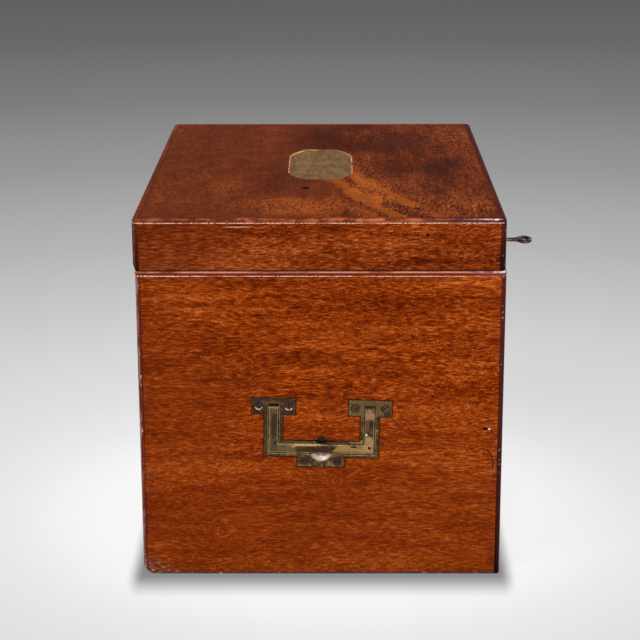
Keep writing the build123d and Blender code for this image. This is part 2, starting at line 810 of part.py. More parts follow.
escutcheon = keyhole(front_face, case_front, keyhole_gap + escutcheon_rim)
for piece in (boards, beads):
    piece["front"] = drilled(piece["front"] - lock_seat(), lock_screws())
boards["front"] -= escutcheon
rails["front"] = drilled(rails["front"] - link_seat(), link_screws())

save("base_board", block(span(0, inner_length + 2 * base_rebate), span(0, inner_depth + 2 * base_rebate),
                         (0, base_thickness)))
save("front_board", boards["front"])
save("back_board", boards["back"])
save("left_end_board", boards["left"])
save("right_end_board", boards["right"])
for side in ("front", "back", "left", "right"):
    save(f"rim_bead_{side}", beads[side])
    save(f"lid_{side}_rail", rails[side])

top_board = block(*lid_limits(lid_edge_band), (lid_top - lid_top_thickness, lid_top))
save("lid_top_board", top_board - name_plate(inlay_gap))
save("name_plate", name_plate())
lining = block(*lid_limits(lid_wall + soft_gap),
               (lid_top - lid_top_thickness - lid_baize, lid_top - lid_top_thickness))
save("lid_lining", lining)

save("floor_lining", block(span(0, inner_length - 2 * soft_gap), span(0, inner_depth - 2 * soft_gap),
                           (base_thickness, floor_top)))
long_dividers, cross_dividers = dividers()
for number, board in enumerate(long_dividers, 1):
    save(f"long_divider_{number}", board)
for number, board in enumerate(cross_dividers, 1):
    save(f"cross_divider_{number}", board)
save("cell_lining", *cell_baize())

save("lock_plate", lock_plate())
save("lock_case", lock_case())
save("lock_bolt", lock_bolt())
save("lock_spring", lock_spring())
save("lock_drill_pin", along_key(drill_pin_radius, case_front, lock_inner_face))
save("lock_screws", *lock_screws(True))
save("link_plate", link_plate())
save("link_plate_screws", *link_screws(True))
save("keyhole_escutcheon", escutcheon - keyhole(front_face, case_front, keyhole_gap))
save("key", key())
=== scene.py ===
import json
from functools import reduce
from math import cos, radians, sin

import bmesh
import bpy
from mathutils import Matrix, Vector, noise
from mathutils.bvhtree import BVHTree

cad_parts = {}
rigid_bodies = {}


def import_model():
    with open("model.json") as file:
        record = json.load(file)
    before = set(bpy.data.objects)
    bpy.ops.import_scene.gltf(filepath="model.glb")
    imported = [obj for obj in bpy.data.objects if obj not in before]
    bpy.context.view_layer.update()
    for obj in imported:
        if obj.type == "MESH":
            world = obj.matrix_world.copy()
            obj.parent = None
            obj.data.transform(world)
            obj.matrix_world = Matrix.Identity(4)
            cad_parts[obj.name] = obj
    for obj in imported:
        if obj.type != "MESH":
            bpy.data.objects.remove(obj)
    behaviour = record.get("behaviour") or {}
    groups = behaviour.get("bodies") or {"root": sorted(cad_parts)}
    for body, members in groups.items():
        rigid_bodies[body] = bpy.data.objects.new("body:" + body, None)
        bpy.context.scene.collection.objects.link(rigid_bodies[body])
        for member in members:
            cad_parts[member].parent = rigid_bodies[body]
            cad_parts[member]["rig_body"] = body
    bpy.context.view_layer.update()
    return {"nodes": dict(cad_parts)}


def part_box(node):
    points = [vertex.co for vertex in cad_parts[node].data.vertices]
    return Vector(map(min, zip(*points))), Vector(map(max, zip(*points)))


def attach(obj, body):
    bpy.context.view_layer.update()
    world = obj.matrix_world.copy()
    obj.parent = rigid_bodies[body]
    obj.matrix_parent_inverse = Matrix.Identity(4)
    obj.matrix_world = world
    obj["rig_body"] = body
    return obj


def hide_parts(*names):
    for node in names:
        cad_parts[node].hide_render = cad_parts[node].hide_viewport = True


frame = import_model()
scene = bpy.context.scene


# The room: a pale floor whose colour holds a painted pool of soft light that falls off to grey
# behind the box, and a painted contact shadow at the box's foot. The floor also glows, though it is
# no lamp, so that real shadows on it stay faint. All of it is stage and no part of the object.

def tone(red, green, blue):
    """A shader colour from the values that a screen shows, 0 to 255."""
    shares = [value / 255 for value in (red, green, blue)]
    return (*(((v + 0.055) / 1.055) ** 2.4 if v > 0.04 else v / 12.92 for v in shares), 1.0)


def joined(operation):
    """A method that joins a wire and another value in one Math node."""
    return lambda self, other: self.math(operation, self, other)


class Wire:
    """An output socket of a node. Sums, products and powers of wires add their Math nodes."""

    def __init__(self, shading, socket):
        self.shading = shading
        self.socket = socket

    def math(self, operation, *values):
        return self.shading.node("ShaderNodeMath", {"operation": operation}, dict(enumerate(values)))

    def __rsub__(self, other):
        return self.math("SUBTRACT", other, self)

    def __abs__(self):
        return self.math("ABSOLUTE", self)

    __add__ = __radd__ = joined("ADD")
    __sub__ = joined("SUBTRACT")
    __mul__ = __rmul__ = joined("MULTIPLY")
    __truediv__ = joined("DIVIDE")
    __pow__ = joined("POWER")
    larger = joined("MAXIMUM")
    smaller = joined("MINIMUM")


class Shading:
    """A node tree while it is written. Its colours are given as a screen shows them."""

    def __init__(self, tree):
        self.tree = tree
        tree.nodes.clear()

    def node(self, kind, settings=None, values=None, output=0):
        """Adds a node: its settings first, then a value or a wire for each named socket."""
        made = self.tree.nodes.new(kind)
        for setting, value in (settings or {}).items():
            if setting == "stops":
                self.set_stops(made.color_ramp, value)
            else:
                setattr(made, setting, value)
        for key, value in (values or {}).items():
            socket = made.inputs[key]
            if isinstance(value, Wire):
                self.tree.links.new(value.socket, socket)
            else:
                socket.default_value = tone(*value) if socket.type == "RGBA" else value
        return Wire(self, made.outputs[output]) if made.outputs else None

    def set_stops(self, ramp, stops):
        ramp.elements.remove(ramp.elements[1])
        for index, (position, colour) in enumerate(stops):
            stop = ramp.elements.new(position) if index else ramp.elements[0]
            stop.position, stop.color = position, tone(*colour)

    def between(self, value, low, high):
        """0 at low, 1 at high, and a smooth rise from one to the other."""
        settings = {"interpolation_type": "SMOOTHSTEP"}
        return self.node("ShaderNodeMapRange", settings, {0: value, 1: low, 2: high})

    def ramp(self, value, stops):
        return self.node("ShaderNodeValToRGB", {"stops": stops}, {"Fac": value})

    def mix(self, share, first, second, blend="MIX"):
        """The first colour with a share of the second over it."""
        settings = {"data_type": "RGBA", "blend_type": blend}
        return self.node("ShaderNodeMix", settings, {0: share, 6: first, 7: second}, output=2)


class Finish(Shading):
    """The finish of one kind of piece, on the box's own coordinates in metres."""

    def __init__(self, name):
        self.material = bpy.data.materials.new(name)
        self.material.use_nodes = True
        super().__init__(self.material.node_tree)
        self.place = self.node("ShaderNodeTexCoord", output="Object")
        split = self.node("ShaderNodeSeparateXYZ", values={"Vector": self.place}).socket.node
        self.x, self.y, self.z = (Wire(self, socket) for socket in split.outputs)

    def noise(self, waves, seed, detail=2.0, roughness=0.5, distortion=0.0, output=0):
        """Soft noise with so many waves a metre, for all axes or for each. The seed moves it."""
        waves = waves if isinstance(waves, tuple) else (waves, waves, waves)
        shift = (17.3 * seed, 5.1 * seed, 9.7 * seed)
        settings = {"operation": "MULTIPLY_ADD"}
        moved = self.node("ShaderNodeVectorMath", settings, {0: self.place, 1: waves, 2: shift})
        return self.node("ShaderNodeTexNoise", values={
            "Vector": moved, "Scale": 1.0, "Detail": detail, "Roughness": roughness,
            "Distortion": distortion}, output=output)

    def measure_from(self, offset, height, tilt):
        """Sets out the near handle's own plane: across to the right and up, in millimetres."""
        y = (self.y - offset) * 1000
        z = (self.z - height) * 1000
        self.across = y * -cos(tilt) - z * sin(tilt)
        self.up = z * cos(tilt) - y * sin(tilt)

    def spot(self, axes, middle, size, soft=0.4):
        """An oval mask round a point, over the two axes that are named, in metres."""
        reach = 0.0
        for axis, value, half in zip(axes, middle, size):
            step = (getattr(self, axis) - value) / half
            reach = step * step + reach
        return self.between(reach, 1 + soft, 1 - soft)

    def stain(self, mask, colour):
        """Lays a colour over what is there, where the mask is."""
        self.colour = self.mix(mask, self.colour, colour)

    def fleck(self, value, low, high, share, colour):
        """Stains with a share of a colour, in full where the value has gone from low to high."""
        self.stain(self.between(value, low, high) * share, colour)

    def surface(self, colour, rough, height=None, relief=0.0001, **constants):
        """Joins colour, roughness and relief to the surface shader, and gives the material."""
        values = {"Base Color": colour, "Roughness": rough}
        if height is not None:
            bump = {"Height": height, "Distance": relief, "Strength": 1.0}
            values["Normal"] = self.node("ShaderNodeBump", values=bump)
        for socket, value in constants.items():
            values[socket.replace("_", " ")] = value
        shader = self.node("ShaderNodeBsdfPrincipled", values=values)
        self.node("ShaderNodeOutputMaterial", values={"Surface": shader})
        return self.material


half_length = 0.1865
half_depth = 0.1295
floor_radius = 40.0
pool_radius = 4.0
pool_middle = -0.05
pool_of_light = [(0.0, 252), (0.17, 250), (0.20, 245), (0.25, 234), (0.32, 224), (0.60, 201),
                 (0.90, 179), (1.38, 150), (2.0, 124), (2.8, 104), (pool_radius, 91)]
painted_shadow_reach = 0.046
painted_shadow_depth = 0.72
far_falloff = 3.5
glow_share = 0.84

floor_finish = Finish("studio_floor")
from_pool = floor_finish.x - pool_middle
away = (from_pool * from_pool + floor_finish.y * floor_finish.y) ** 0.5
# The painted pool of light: the floor's colour falls off with distance from a point by the box
pool = floor_finish.ramp(away / pool_radius, [(r / pool_radius, (v, v, v)) for r, v in pool_of_light])
# A painted contact shadow round the box's foot, reaching furthest in front of the near end
past_near_end = (floor_finish.x * -1.0 - half_length).larger(0.0)
past_end = past_near_end + (floor_finish.x - half_length).larger(0.0) * far_falloff
past_side = (abs(floor_finish.y) - half_depth).larger(0.0) * far_falloff
past_foot = (past_end * past_end + past_side * past_side) ** 0.5
painted_contact_shadow = floor_finish.between(past_foot, painted_shadow_reach, 0.0) * painted_shadow_depth
floor_colour = floor_finish.mix(painted_contact_shadow, pool, (0, 0, 0))
floor_mesh = bmesh.new()
bmesh.ops.create_circle(floor_mesh, cap_ends=True, segments=96, radius=floor_radius)
floor = bpy.data.objects.new("studio_floor", bpy.data.meshes.new("studio_floor"))
floor_mesh.to_mesh(floor.data)
floor_mesh.free()
# Most of the floor's brightness is its own glow, so the real shadows on it stay faint
lit_colour = floor_finish.mix(glow_share, floor_colour, (0, 0, 0))
floor.data.materials.append(floor_finish.surface(
    lit_colour, 0.9, Specular_IOR_Level=0.0, Emission_Color=floor_colour, Emission_Strength=glow_share))
scene.collection.objects.link(floor)

world = bpy.data.worlds.new("studio")
world.use_nodes = True
scene.world = world
sky = Shading(world.node_tree)
rays = sky.node("ShaderNodeLightPath").socket.node
seen = Wire(sky, rays.outputs["Is Camera Ray"]).larger(Wire(sky, rays.outputs["Is Glossy Ray"]))
seen = seen.larger(Wire(sky, rays.outputs["Is Transmission Ray"]))
sky_light = sky.node("ShaderNodeBackground", values={"Color": (255, 255, 255), "Strength": 0.50})
sky_seen = sky.node("ShaderNodeBackground", values={"Color": (92, 92, 92), "Strength": 1.0})
sky_mix = sky.node("ShaderNodeMixShader", values={0: seen, 1: sky_light, 2: sky_seen})
sky.node("ShaderNodeOutputWorld", values={"Surface": sky_mix})


def soft_lamp(name, towards, strength, spread):
    """A wide, even lamp far away in the direction `towards`."""
    lamp = bpy.data.lights.new(name, "SUN")
    lamp.energy = strength
    lamp.angle = radians(spread)
    holder = bpy.data.objects.new(name, lamp)
    holder.rotation_mode = "QUATERNION"
    holder.rotation_quaternion = Vector(towards).to_track_quat("Z", "Y")
    scene.collection.objects.link(holder)


soft_lamp("key_lamp", (-0.55, 0.60, 0.95), 1.5, 26)
soft_lamp("front_lamp", (-0.95, 0.05, 0.42), 1.35, 40)
soft_lamp("back_lamp", (0.75, -0.62, 0.55), 0.6, 50)


# The photograph's camera, fitted to the eight corners of the box that show in it.

camera_place = Vector((-1.44331, -0.0079, 0.55481))
camera_look = Vector((0.960821, 0.006452, -0.277093))
camera_roll = radians(0.145)

level_right = camera_look.cross(Vector((0, 0, 1))).normalized()
level_down = camera_look.cross(level_right)
image_right = cos(camera_roll) * level_right + sin(camera_roll) * level_down
image_down = cos(camera_roll) * level_down - sin(camera_roll) * level_right
axes = Matrix((image_right, -image_down, -camera_look)).transposed().to_4x4()
camera = bpy.data.objects.new("photo_camera", bpy.data.cameras.new("photo_camera"))
camera.data.lens = 105.0
camera.data.sensor_width = 36.0
camera.matrix_world = Matrix.Translation(camera_place) @ axes
scene.collection.objects.link(camera)
scene.camera = camera
scene.view_settings.view_transform = "Standard"


# The carcase: four boards of solid mahogany mitred at the corners, French-polished over a red
# stain, with a bead glued on the rim. Each edge is rounded and set off by a fine quirk. Handling
# has rubbed the arrises pale and dented the near end; the pale arrises also carry painted
# highlight, and the rounded corners painted shade.

quirk_inset = 0.0032
rim_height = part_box("left_end_board")[1].z

side_tones = [(0.0, (76, 19, 0)), (0.25, (102, 32, 1)), (0.5, (134, 51, 6)),
              (0.75, (163, 72, 18)), (1.0, (200, 102, 44))]
side_pores = (70, 18, 0)
# Painted shade on the rounded corners (a purple also used for dirt and pores) and a brown for their very
# edge, a pink for painted gleams, and a pale for rubbed wear and painted highlight
shade_and_dirt_purple = (70, 30, 30)
corner_shade_brown = (98, 48, 48)
gleam_pink = (232, 200, 208)
pale_wear_and_highlight = (226, 186, 160)
rubbed_warm = (176, 96, 62)
bare_grey = (120, 104, 84)
dent_dark = (26, 14, 12)


def waves_along(axis, across, along):
    """Waves a metre for a grain that runs along one axis."""
    return tuple(along if name == axis else across for name in "xyz")


class Polish(Finish):
    """Mahogany under old polish: its grain, with a colour, roughness and relief to add marks to."""

    def __init__(self, name, grain, seed, tones=side_tones, pore_tone=side_pores, swing=4.7, curl=0.004,
                 fine=(1050, 170)):
        super().__init__(name)
        straight = self.place
        cloud = self.noise(16, seed + 5)
        push = self.noise(120, seed + 6, 1, output=1)
        strength = self.between(cloud, 0.46, 0.66) * curl + 0.0012
        self.place = self.node("ShaderNodeVectorMath", {"operation": "MULTIPLY_ADD"},
                               {0: push, 1: strength, 2: straight})
        bands = self.noise(waves_along(grain, 30, 4), seed, 3, 0.6)
        figure = self.noise(waves_along(grain, 190, 16), seed + 1, 3, 0.6)
        fibres = self.noise(waves_along(grain, *fine), seed + 2, 2, 0.5)
        dashes = self.noise(waves_along(grain, 950, 80), seed + 3, 1)
        self.place = straight
        grit = self.noise(1500, seed + 4, 1)
        mixed = bands * 0.27 + figure * 0.15 + fibres * 0.38 + grit * 0.20
        self.level = (mixed - 0.5) * swing + 0.5
        self.pores = self.between(dashes, 0.60, 0.68)
        streaks = self.noise(waves_along(grain, 300, 20), seed + 7, 3, 0.6)
        self.colour = self.ramp(self.level, tones)
        self.fleck(streaks, 0.58, 0.70, 0.55, pore_tone)
        self.stain(self.pores * 0.5, pore_tone)
        self.rough = 0.34 + self.pores * 0.2 + cloud * 0.12
        self.height = fibres * 0.5 - self.pores * 0.6

    def sink(self, mask, depth):
        """Presses the surface in by `depth` in units of the grain's relief."""
        self.height = self.height - mask * depth

    def done(self):
        return self.surface(self.colour, self.rough, self.height, 0.00005, Specular_IOR_Level=0.02)


def corner_light_and_wear(wood, seed, length=half_length, depth=half_depth, middle_y=0.0):
    """Paints shade on the rounded strips outside the quirks, most on the right, with dots of painted
    highlight along them; pales the near-left corner with wear and painted highlight; dirties the wood near
    the corners; and lays a slate-blue line with pale flecks along the foot.
    """
    inset = (length - abs(wood.x)).larger(depth - abs(wood.y - middle_y))
    patchy = wood.noise((160, 160, 45), seed, 3, 0.6)
    # Painted shade where the rounded corners turn from the light, darkest at the very edge
    strip = wood.between(inset, quirk_inset + 0.0004, quirk_inset - 0.0002)
    wood.stain(strip * (wood.between(wood.y, 0.10, 0.02) * 0.25 + 0.65), shade_and_dirt_purple)
    wood.fleck(inset, 0.0016, 0.0006, 0.9, corner_shade_brown)
    # Dots of painted highlight along the strips
    glints = wood.noise((200, 200, 260), seed + 1, 3, 0.7)
    dots = wood.between(abs(inset - 0.0021), 0.0006, 0.0002) * wood.between(glints, 0.58, 0.66)
    wood.stain(dots * wood.between(patchy, 0.42, 0.56) * 0.75, gleam_pink)
    # The near-left corner: rubbed pale, and painted highlight where the light falls
    worn_and_lit_corner = wood.between(inset, 0.0022, 0.0010) * wood.between(wood.y, 0.10, 0.12)
    worn_and_lit_corner = worn_and_lit_corner * wood.between(wood.x, -0.10, -0.16)
    wood.stain(worn_and_lit_corner * wood.between(patchy, 0.44, 0.60) * 0.7, (206, 160, 142))
    grime = wood.between(inset, 0.014, 0.003) * wood.between(patchy, 0.42, 0.62)
    wood.stain(grime * 0.25, shade_and_dirt_purple)
    foot_noise = wood.noise((150, 150, 60), seed + 2, 3, 0.65)
    foot = wood.between(wood.z + foot_noise * 0.002, 0.0030, 0.0018)
    wood.stain(foot * 0.85, (52, 50, 62))
    wood.stain(foot * wood.between(foot_noise, 0.60, 0.72) * 0.6, (160, 158, 174))


def rubbed_and_lit_arris(name, seed, pale_share):
    """The rounded-over arris: polish worn through to pale wood in uneven lengths, a paleness that also
    stands for painted highlight, with a whiter painted highlight on the body's arris below the bead.
    """
    arris = Finish(name)
    lengths = arris.noise(70, seed, 3, 0.65)
    nicks = arris.noise(520, seed + 1, 2, 0.6)
    worn_from = 0.62 - pale_share * 0.3
    worn = arris.between(lengths * 0.6 + nicks * 0.4, worn_from, worn_from + 0.08)
    arris.colour = arris.mix(worn, rubbed_warm, pale_wear_and_highlight)
    # A whiter painted highlight on the body's arris just below the bead
    body_arris_highlight = arris.between(arris.z, 0.2270, 0.2265)
    arris.stain(body_arris_highlight * arris.between(lengths, 0.34, 0.50) * 0.8, (224, 202, 208))
    arris.fleck(nicks * 0.6 + lengths * 0.4, 0.54, 0.60, 0.85, shade_and_dirt_purple)
    # Darker on the long sides, so that the pale painted highlight stays on the ends
    arris.fleck(abs(arris.x), 0.1855, 0.1840, 0.6, (128, 58, 34))
    return arris.surface(arris.colour, 0.30 + nicks * 0.2, nicks, 0.0001, Specular_IOR_Level=0.5,
                         Coat_Weight=0.25)


def is_mitre(face):
    """A mitre's face lies at 45 degrees in plan and is wider than any corner's facet."""
    across = [max(v.co[i] for v in face.verts) - min(v.co[i] for v in face.verts) for i in (0, 1)]
    return abs(abs(face.normal.x) - abs(face.normal.y)) < 0.01 and min(across) > 0.004


def weighted_normals(piece):
    """Shades the rounded edges smoothly and keeps the flats flat."""
    smooth = piece.modifiers.new("weighted_normals", "WEIGHTED_NORMAL")
    smooth.keep_sharp = True
    plain_mesh(piece)


def plain_mesh(piece):
    """Turns a piece with live modifiers into the mesh that they make."""
    graph = bpy.context.evaluated_depsgraph_get()
    piece.data = bpy.data.meshes.new_from_object(
        piece.evaluated_get(graph), preserve_all_data_layers=True, depsgraph=graph)
    piece.modifiers.clear()


bruise_radius = 0.0095
bruise_depth = 0.026


def bruise_corner(mesh):
    """Rounds the lower corner at the back of the near end, less and less further in."""
    inner_end = Vector((bruise_depth - half_length, half_depth, 0))
    for angle in map(radians, (15, 30, 45, 60, 75)):
        worn_off = bruise_radius * (cos(angle) + sin(angle) - 1)
        outwards = Vector((-worn_off / bruise_depth, cos(angle), -sin(angle)))
        whole = mesh.verts[:] + mesh.edges[:] + mesh.faces[:]
        cut = bmesh.ops.bisect_plane(mesh, geom=whole, dist=1e-7, plane_co=inner_end, plane_no=outwards,
                                     clear_outer=True)
        rim = [part for part in cut["geom_cut"] if isinstance(part, bmesh.types.BMEdge)]
        for face in bmesh.ops.contextual_create(mesh, geom=rim)["faces"]:
            face.normal_update()
            if face.normal.dot(outwards) < 0:
                face.normal_flip()


def eased(node, finish, rubbed, width, sharp_angle=28, chosen=None, bright=None, dark_rounds=None,
          bruise=None):
    """A copy of a CAD node with its chosen arrises rounded over, which stands for it."""
    mesh = bmesh.new()
    mesh.from_mesh(frame["nodes"][node].data)
    bmesh.ops.remove_doubles(mesh, verts=mesh.verts, dist=2e-6)
    bmesh.ops.dissolve_limit(mesh, angle_limit=radians(0.6), verts=mesh.verts, edges=mesh.edges)
    for face in mesh.faces:
        face.material_index = 0
    sharp = [edge for edge in mesh.edges
             if edge.is_manifold and edge.calc_face_angle() > radians(sharp_angle)
             and not any(is_mitre(face) for face in edge.link_faces) and (chosen is None or chosen(edge))]
    bmesh.ops.bevel(mesh, geom=sharp, offset=width, offset_type="OFFSET", segments=2,
                    profile=0.5, affect="EDGES", clamp_overlap=False, material=1)
    rounded = [face for face in mesh.faces if face.material_index == 1]
    if bright:
        keep = bright(rounded)
        for face in rounded:
            face.material_index = 1 if face in keep else (2 if dark_rounds else 0)
    if bruise:
        bruise(mesh)
    for face in mesh.faces:
        face.smooth = True
    piece = bpy.data.objects.new(node + "_worn", bpy.data.meshes.new(node + "_worn"))
    mesh.to_mesh(piece.data)
    mesh.free()
    piece.data.materials.append(finish)
    piece.data.materials.append(rubbed)
    if dark_rounds:
        piece.data.materials.append(dark_rounds)
    scene.collection.objects.link(piece)
    weighted_normals(piece)
    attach(piece, frame["nodes"][node]["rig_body"])
    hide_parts(node)


def level_outside(edge):
    """An edge on the outside of the box that runs level."""
    first, second = (vertex.co for vertex in edge.verts)
    middle = (first + second) / 2
    outside = max(abs(middle.x) - half_length, abs(middle.y) - half_depth) > -0.0012
    return outside and abs(first.z - second.z) < 1e-5


quirk_arrises = (rim_height - 0.0036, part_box("lid_top_board")[1].z - 0.0030)


def below_quirk(faces):
    """The rounded faces of the arrises just below the level quirks, where hands rub and where painted
    highlight lies.
    """
    return {face for face in faces
            if any(abs(face.calc_center_median().z - z) < 0.0004 for z in quirk_arrises)}


def board(node, finish, arris, bruise=None):
    """An outside board, with its level arrises just below the quirks rubbed pale and painted as highlight.
    """
    eased(node, finish, arris, 0.00030, chosen=level_outside, bright=below_quirk, bruise=bruise)


near_end = Polish("mahogany_near_end", "y", 3)
lower_shade = near_end.between(near_end.z, 0.17, 0.04)
lower_shade = lower_shade.larger(near_end.between(near_end.y, 0.05, 0.12) * 0.6)
left_shade = near_end.between(near_end.y, 0.02, 0.09) * near_end.between(near_end.z, 0.185, 0.145)
lower_shade = lower_shade.larger(left_shade * 0.95)
near_end.stain(lower_shade * 0.45, (102, 36, 5))
corner_light_and_wear(near_end, 40)
knot_shadow = near_end.spot("yz", (-0.1191, 0.1009), (0.012, 0.016), soft=0.9)
near_end.stain(knot_shadow * near_end.between(near_end.pores, 0.1, 0.6) * 0.8, dent_dark)
corner_grit = near_end.noise((420, 210, 620), 44, 3, 0.7)
rubbed_corner = near_end.between(near_end.z * 1.9 + abs(near_end.y - half_depth), 0.042, 0.010)
near_end.stain(rubbed_corner * near_end.between(corner_grit, 0.45, 0.60) * 0.6, bare_grey)
near_end.stain(rubbed_corner * near_end.between(corner_grit, 0.60, 0.68) * 0.7, pale_wear_and_highlight)

# A dark line in the wood along the outline of the handle's plate
handle_height = 0.1278
near_offset = -0.0008
near_tilt = radians(1.5)
plate_parts = [((-34.3, 0), (15.5, 6.1)), ((34.3, 0), (15.5, 6.1)), ((-34.3, -18.7), (6.7, 18.7)),
               ((34.3, -18.7), (6.7, 18.7)), ((0, -31.35), (41.0, 6.05)), ((0, -41.2), (17.2, 3.8))]
near_end.measure_from(near_offset, handle_height, near_tilt)
beside_plate = reduce(Wire.smaller, [
    (abs(near_end.across - middle[0]) - size[0]).larger(abs(near_end.up - middle[1]) - size[1])
    for middle, size in plate_parts])
dark_line_width = near_end.noise(180, 46, 3) * 1.4
near_end.fleck(beside_plate, dark_line_width + 0.25, dark_line_width - 0.35, 0.75, dent_dark)

# A dent and a short curved shake near the front corner of the near end
dent = near_end.spot("yz", (-0.1178, 0.1117), (0.0034, 0.0011))
# A painted glint on the edge of the dent
dent_glint = near_end.spot("yz", (-0.1198, 0.1115), (0.0010, 0.0006))
near_end.stain(dent, dent_dark)
near_end.stain(dent_glint, (215, 205, 200))
near_end.sink(dent, 3.0)
shake_middle = {"y": -0.1071, "z": 0.0849}
shake_radius = 0.0160
from_shake_y = near_end.y - shake_middle["y"]
from_shake_z = near_end.z - shake_middle["z"]
shake_ring = abs((from_shake_y * from_shake_y + from_shake_z * from_shake_z) ** 0.5 - shake_radius)
shake_window = near_end.spot("yz", (-0.1218, 0.0899), (0.0050, 0.0085))
shake = near_end.between(shake_ring, 0.0006, 0.0002) * shake_window
shake_branch = near_end.spot("yz", (-0.1211, 0.0886), (0.0075, 0.0004))
near_end.stain(shake.larger(shake_branch * 0.7), dent_dark)
near_end.sink(shake, 3.0)

far_end = Polish("mahogany_far_end", "y", 11)
front_wood = Polish("mahogany_front", "x", 19)
back_wood = Polish("mahogany_back", "x", 27)
for wood, seed in ((far_end, 50), (front_wood, 60), (back_wood, 70)):
    corner_light_and_wear(wood, seed)
arris_wear_and_highlight = rubbed_and_lit_arris("rubbed_lit_arris", 5, 0.55)
board("left_end_board", near_end.done(), arris_wear_and_highlight, bruise_corner)
board("right_end_board", far_end.done(), arris_wear_and_highlight)
board("front_board", front_wood.done(), arris_wear_and_highlight)
board("back_board", back_wood.done(), arris_wear_and_highlight, bruise_corner)


# The rim bead: four thin strips glued on the boards' top edges, half round on the outside. Hands
# and the closing lid have polished them redder than the boards; their upper half carries painted
# highlight and their lower half painted shade.

bead_tones = [(0.0, (92, 30, 12)), (0.45, (140, 62, 34)), (1.0, (196, 112, 78))]


def bead_polish_and_light(name, grain, seed):
    bead = Polish(name, grain, seed, bead_tones, shade_and_dirt_purple, swing=3.0)
    lengths = bead.noise(45, seed + 6, 3, 0.6)
    upper = bead.between(bead.z, rim_height - 0.0016, rim_height - 0.0010)
    at_ends = bead.between(abs(bead.x), half_length - 0.0040, half_length - 0.0022)
    # Painted highlight along the upper half, strongest at the ends
    bead.stain(upper * bead.between(lengths, 0.30, 0.60) * (at_ends * 0.5 + 0.25), (216, 142, 116))
    # Painted shade on the lower half
    bead.fleck(bead.z, rim_height - 0.0013, rim_height - 0.0018, 0.85, (104, 36, 14))
    # Painted shade and a painted glint at the right end of the near bead
    painted_light_by_lock = bead.between(bead.y, -0.10, -0.118) * bead.between(bead.x, -0.1830, -0.1845)
    bead.stain(painted_light_by_lock * 0.6, (150, 84, 84))
    bead.stain(painted_light_by_lock * upper * bead.between(lengths, 0.42, 0.52) * 0.8, (228, 206, 216))
    return bead.done()


end_bead = bead_polish_and_light("bead_ends", "y", 83)
side_bead = bead_polish_and_light("bead_sides", "x", 89)
for node, finish in {"rim_bead_left": end_bead, "rim_bead_right": end_bead,
                     "rim_bead_front": side_bead, "rim_bead_back": side_bead}.items():
    eased(node, finish, finish, 0.0002)


# The lid: four mahogany rails mitred like the boards below, and a top board let in between them.
# The rails have the boards' grain; the top is a wilder piece, sun-faded and mottled.

lid_low, lid_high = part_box("lid_left_rail")
lid_half_length = 0.187
lid_half_depth = (lid_high.y - lid_low.y) / 2 + 0.0009
lid_middle_y = (lid_high.y + lid_low.y) / 2
lid_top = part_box("lid_top_board")[1].z

lid_tones = [(0.0, (60, 13, 0)), (0.25, (90, 27, 2)), (0.5, (122, 46, 9)),
             (0.75, (153, 67, 20)), (1.0, (192, 97, 46))]
top_tones = [(0.0, (60, 18, 3)), (0.25, (84, 30, 8)), (0.5, (107, 42, 12)),
             (0.75, (130, 57, 17)), (1.0, (168, 84, 32))]
top_dark = (64, 20, 10)
top_orange = (190, 96, 30)
top_tan = (138, 64, 24)


def lid_edge_light_and_wear(wood, seed):
    """The rails' corner strips and rounded top edge with painted light: shade on the strips, along the lower
    edge and the side roundings, warm highlight, gleams and a glint on the near rounding, beside the boards'
    wear and dirt.
    """
    corner_light_and_wear(wood, seed, lid_half_length, lid_half_depth, lid_middle_y)
    # A painted shadow along the lid's lower edge, where it meets the bead
    wood.fleck(wood.z, lid_low.z + 0.0010, lid_low.z + 0.0006, 0.8, (48, 18, 10))
    band = wood.between(wood.z, lid_top - 0.0030, lid_top - 0.0022)
    patchy = wood.noise((150, 80, 150), seed + 3, 4, 0.7)
    front_part = wood.between(wood.y, -0.05, -0.095)
    at_near_end = wood.between(wood.x, -0.1790, -0.1830)
    # Painted light on the rounded top edge: a darker band, shade at its right end, warm highlight over the
    # rest of the near end
    wood.stain(band * 0.35, (112, 46, 24))
    wood.stain(band * front_part * at_near_end * 0.75, (78, 34, 36))
    warm_highlight = band * (1 - front_part) * at_near_end
    wood.stain(warm_highlight * wood.between(patchy, 0.44, 0.60) * 0.60, (198, 104, 52))
    # A painted gleam and a painted glint along the near rounding
    gleam = wood.between(abs(wood.z - lid_top + 0.0006), 0.0005, 0.0002)
    gleam = gleam * wood.between(wood.x, -0.1850, -0.1855) * wood.between(patchy, 0.40, 0.56)
    wood.stain(gleam * (wood.between(wood.y, -0.088, -0.110) * 0.62 + 0.08), gleam_pink)
    glint = wood.spot("yz", (-0.1215, lid_top - 0.0008), (0.0016, 0.0005))
    wood.stain(glint * 0.75, (244, 226, 238))
    # Painted shade along the rounded side edges of the top, warmer on the left
    side_edge_shade = wood.between(abs(wood.y - lid_middle_y), lid_half_depth - 0.0065, lid_half_depth - 0.0020)
    side_edge_shade = side_edge_shade * wood.between(wood.z, lid_top - 0.0024, lid_top - 0.0016)
    wood.stain(side_edge_shade * wood.between(wood.y, 0.05, -0.05) * 0.8, (58, 26, 32))
    wood.stain(side_edge_shade * wood.between(wood.y, 0.10, 0.12) * 0.35, (112, 52, 34))


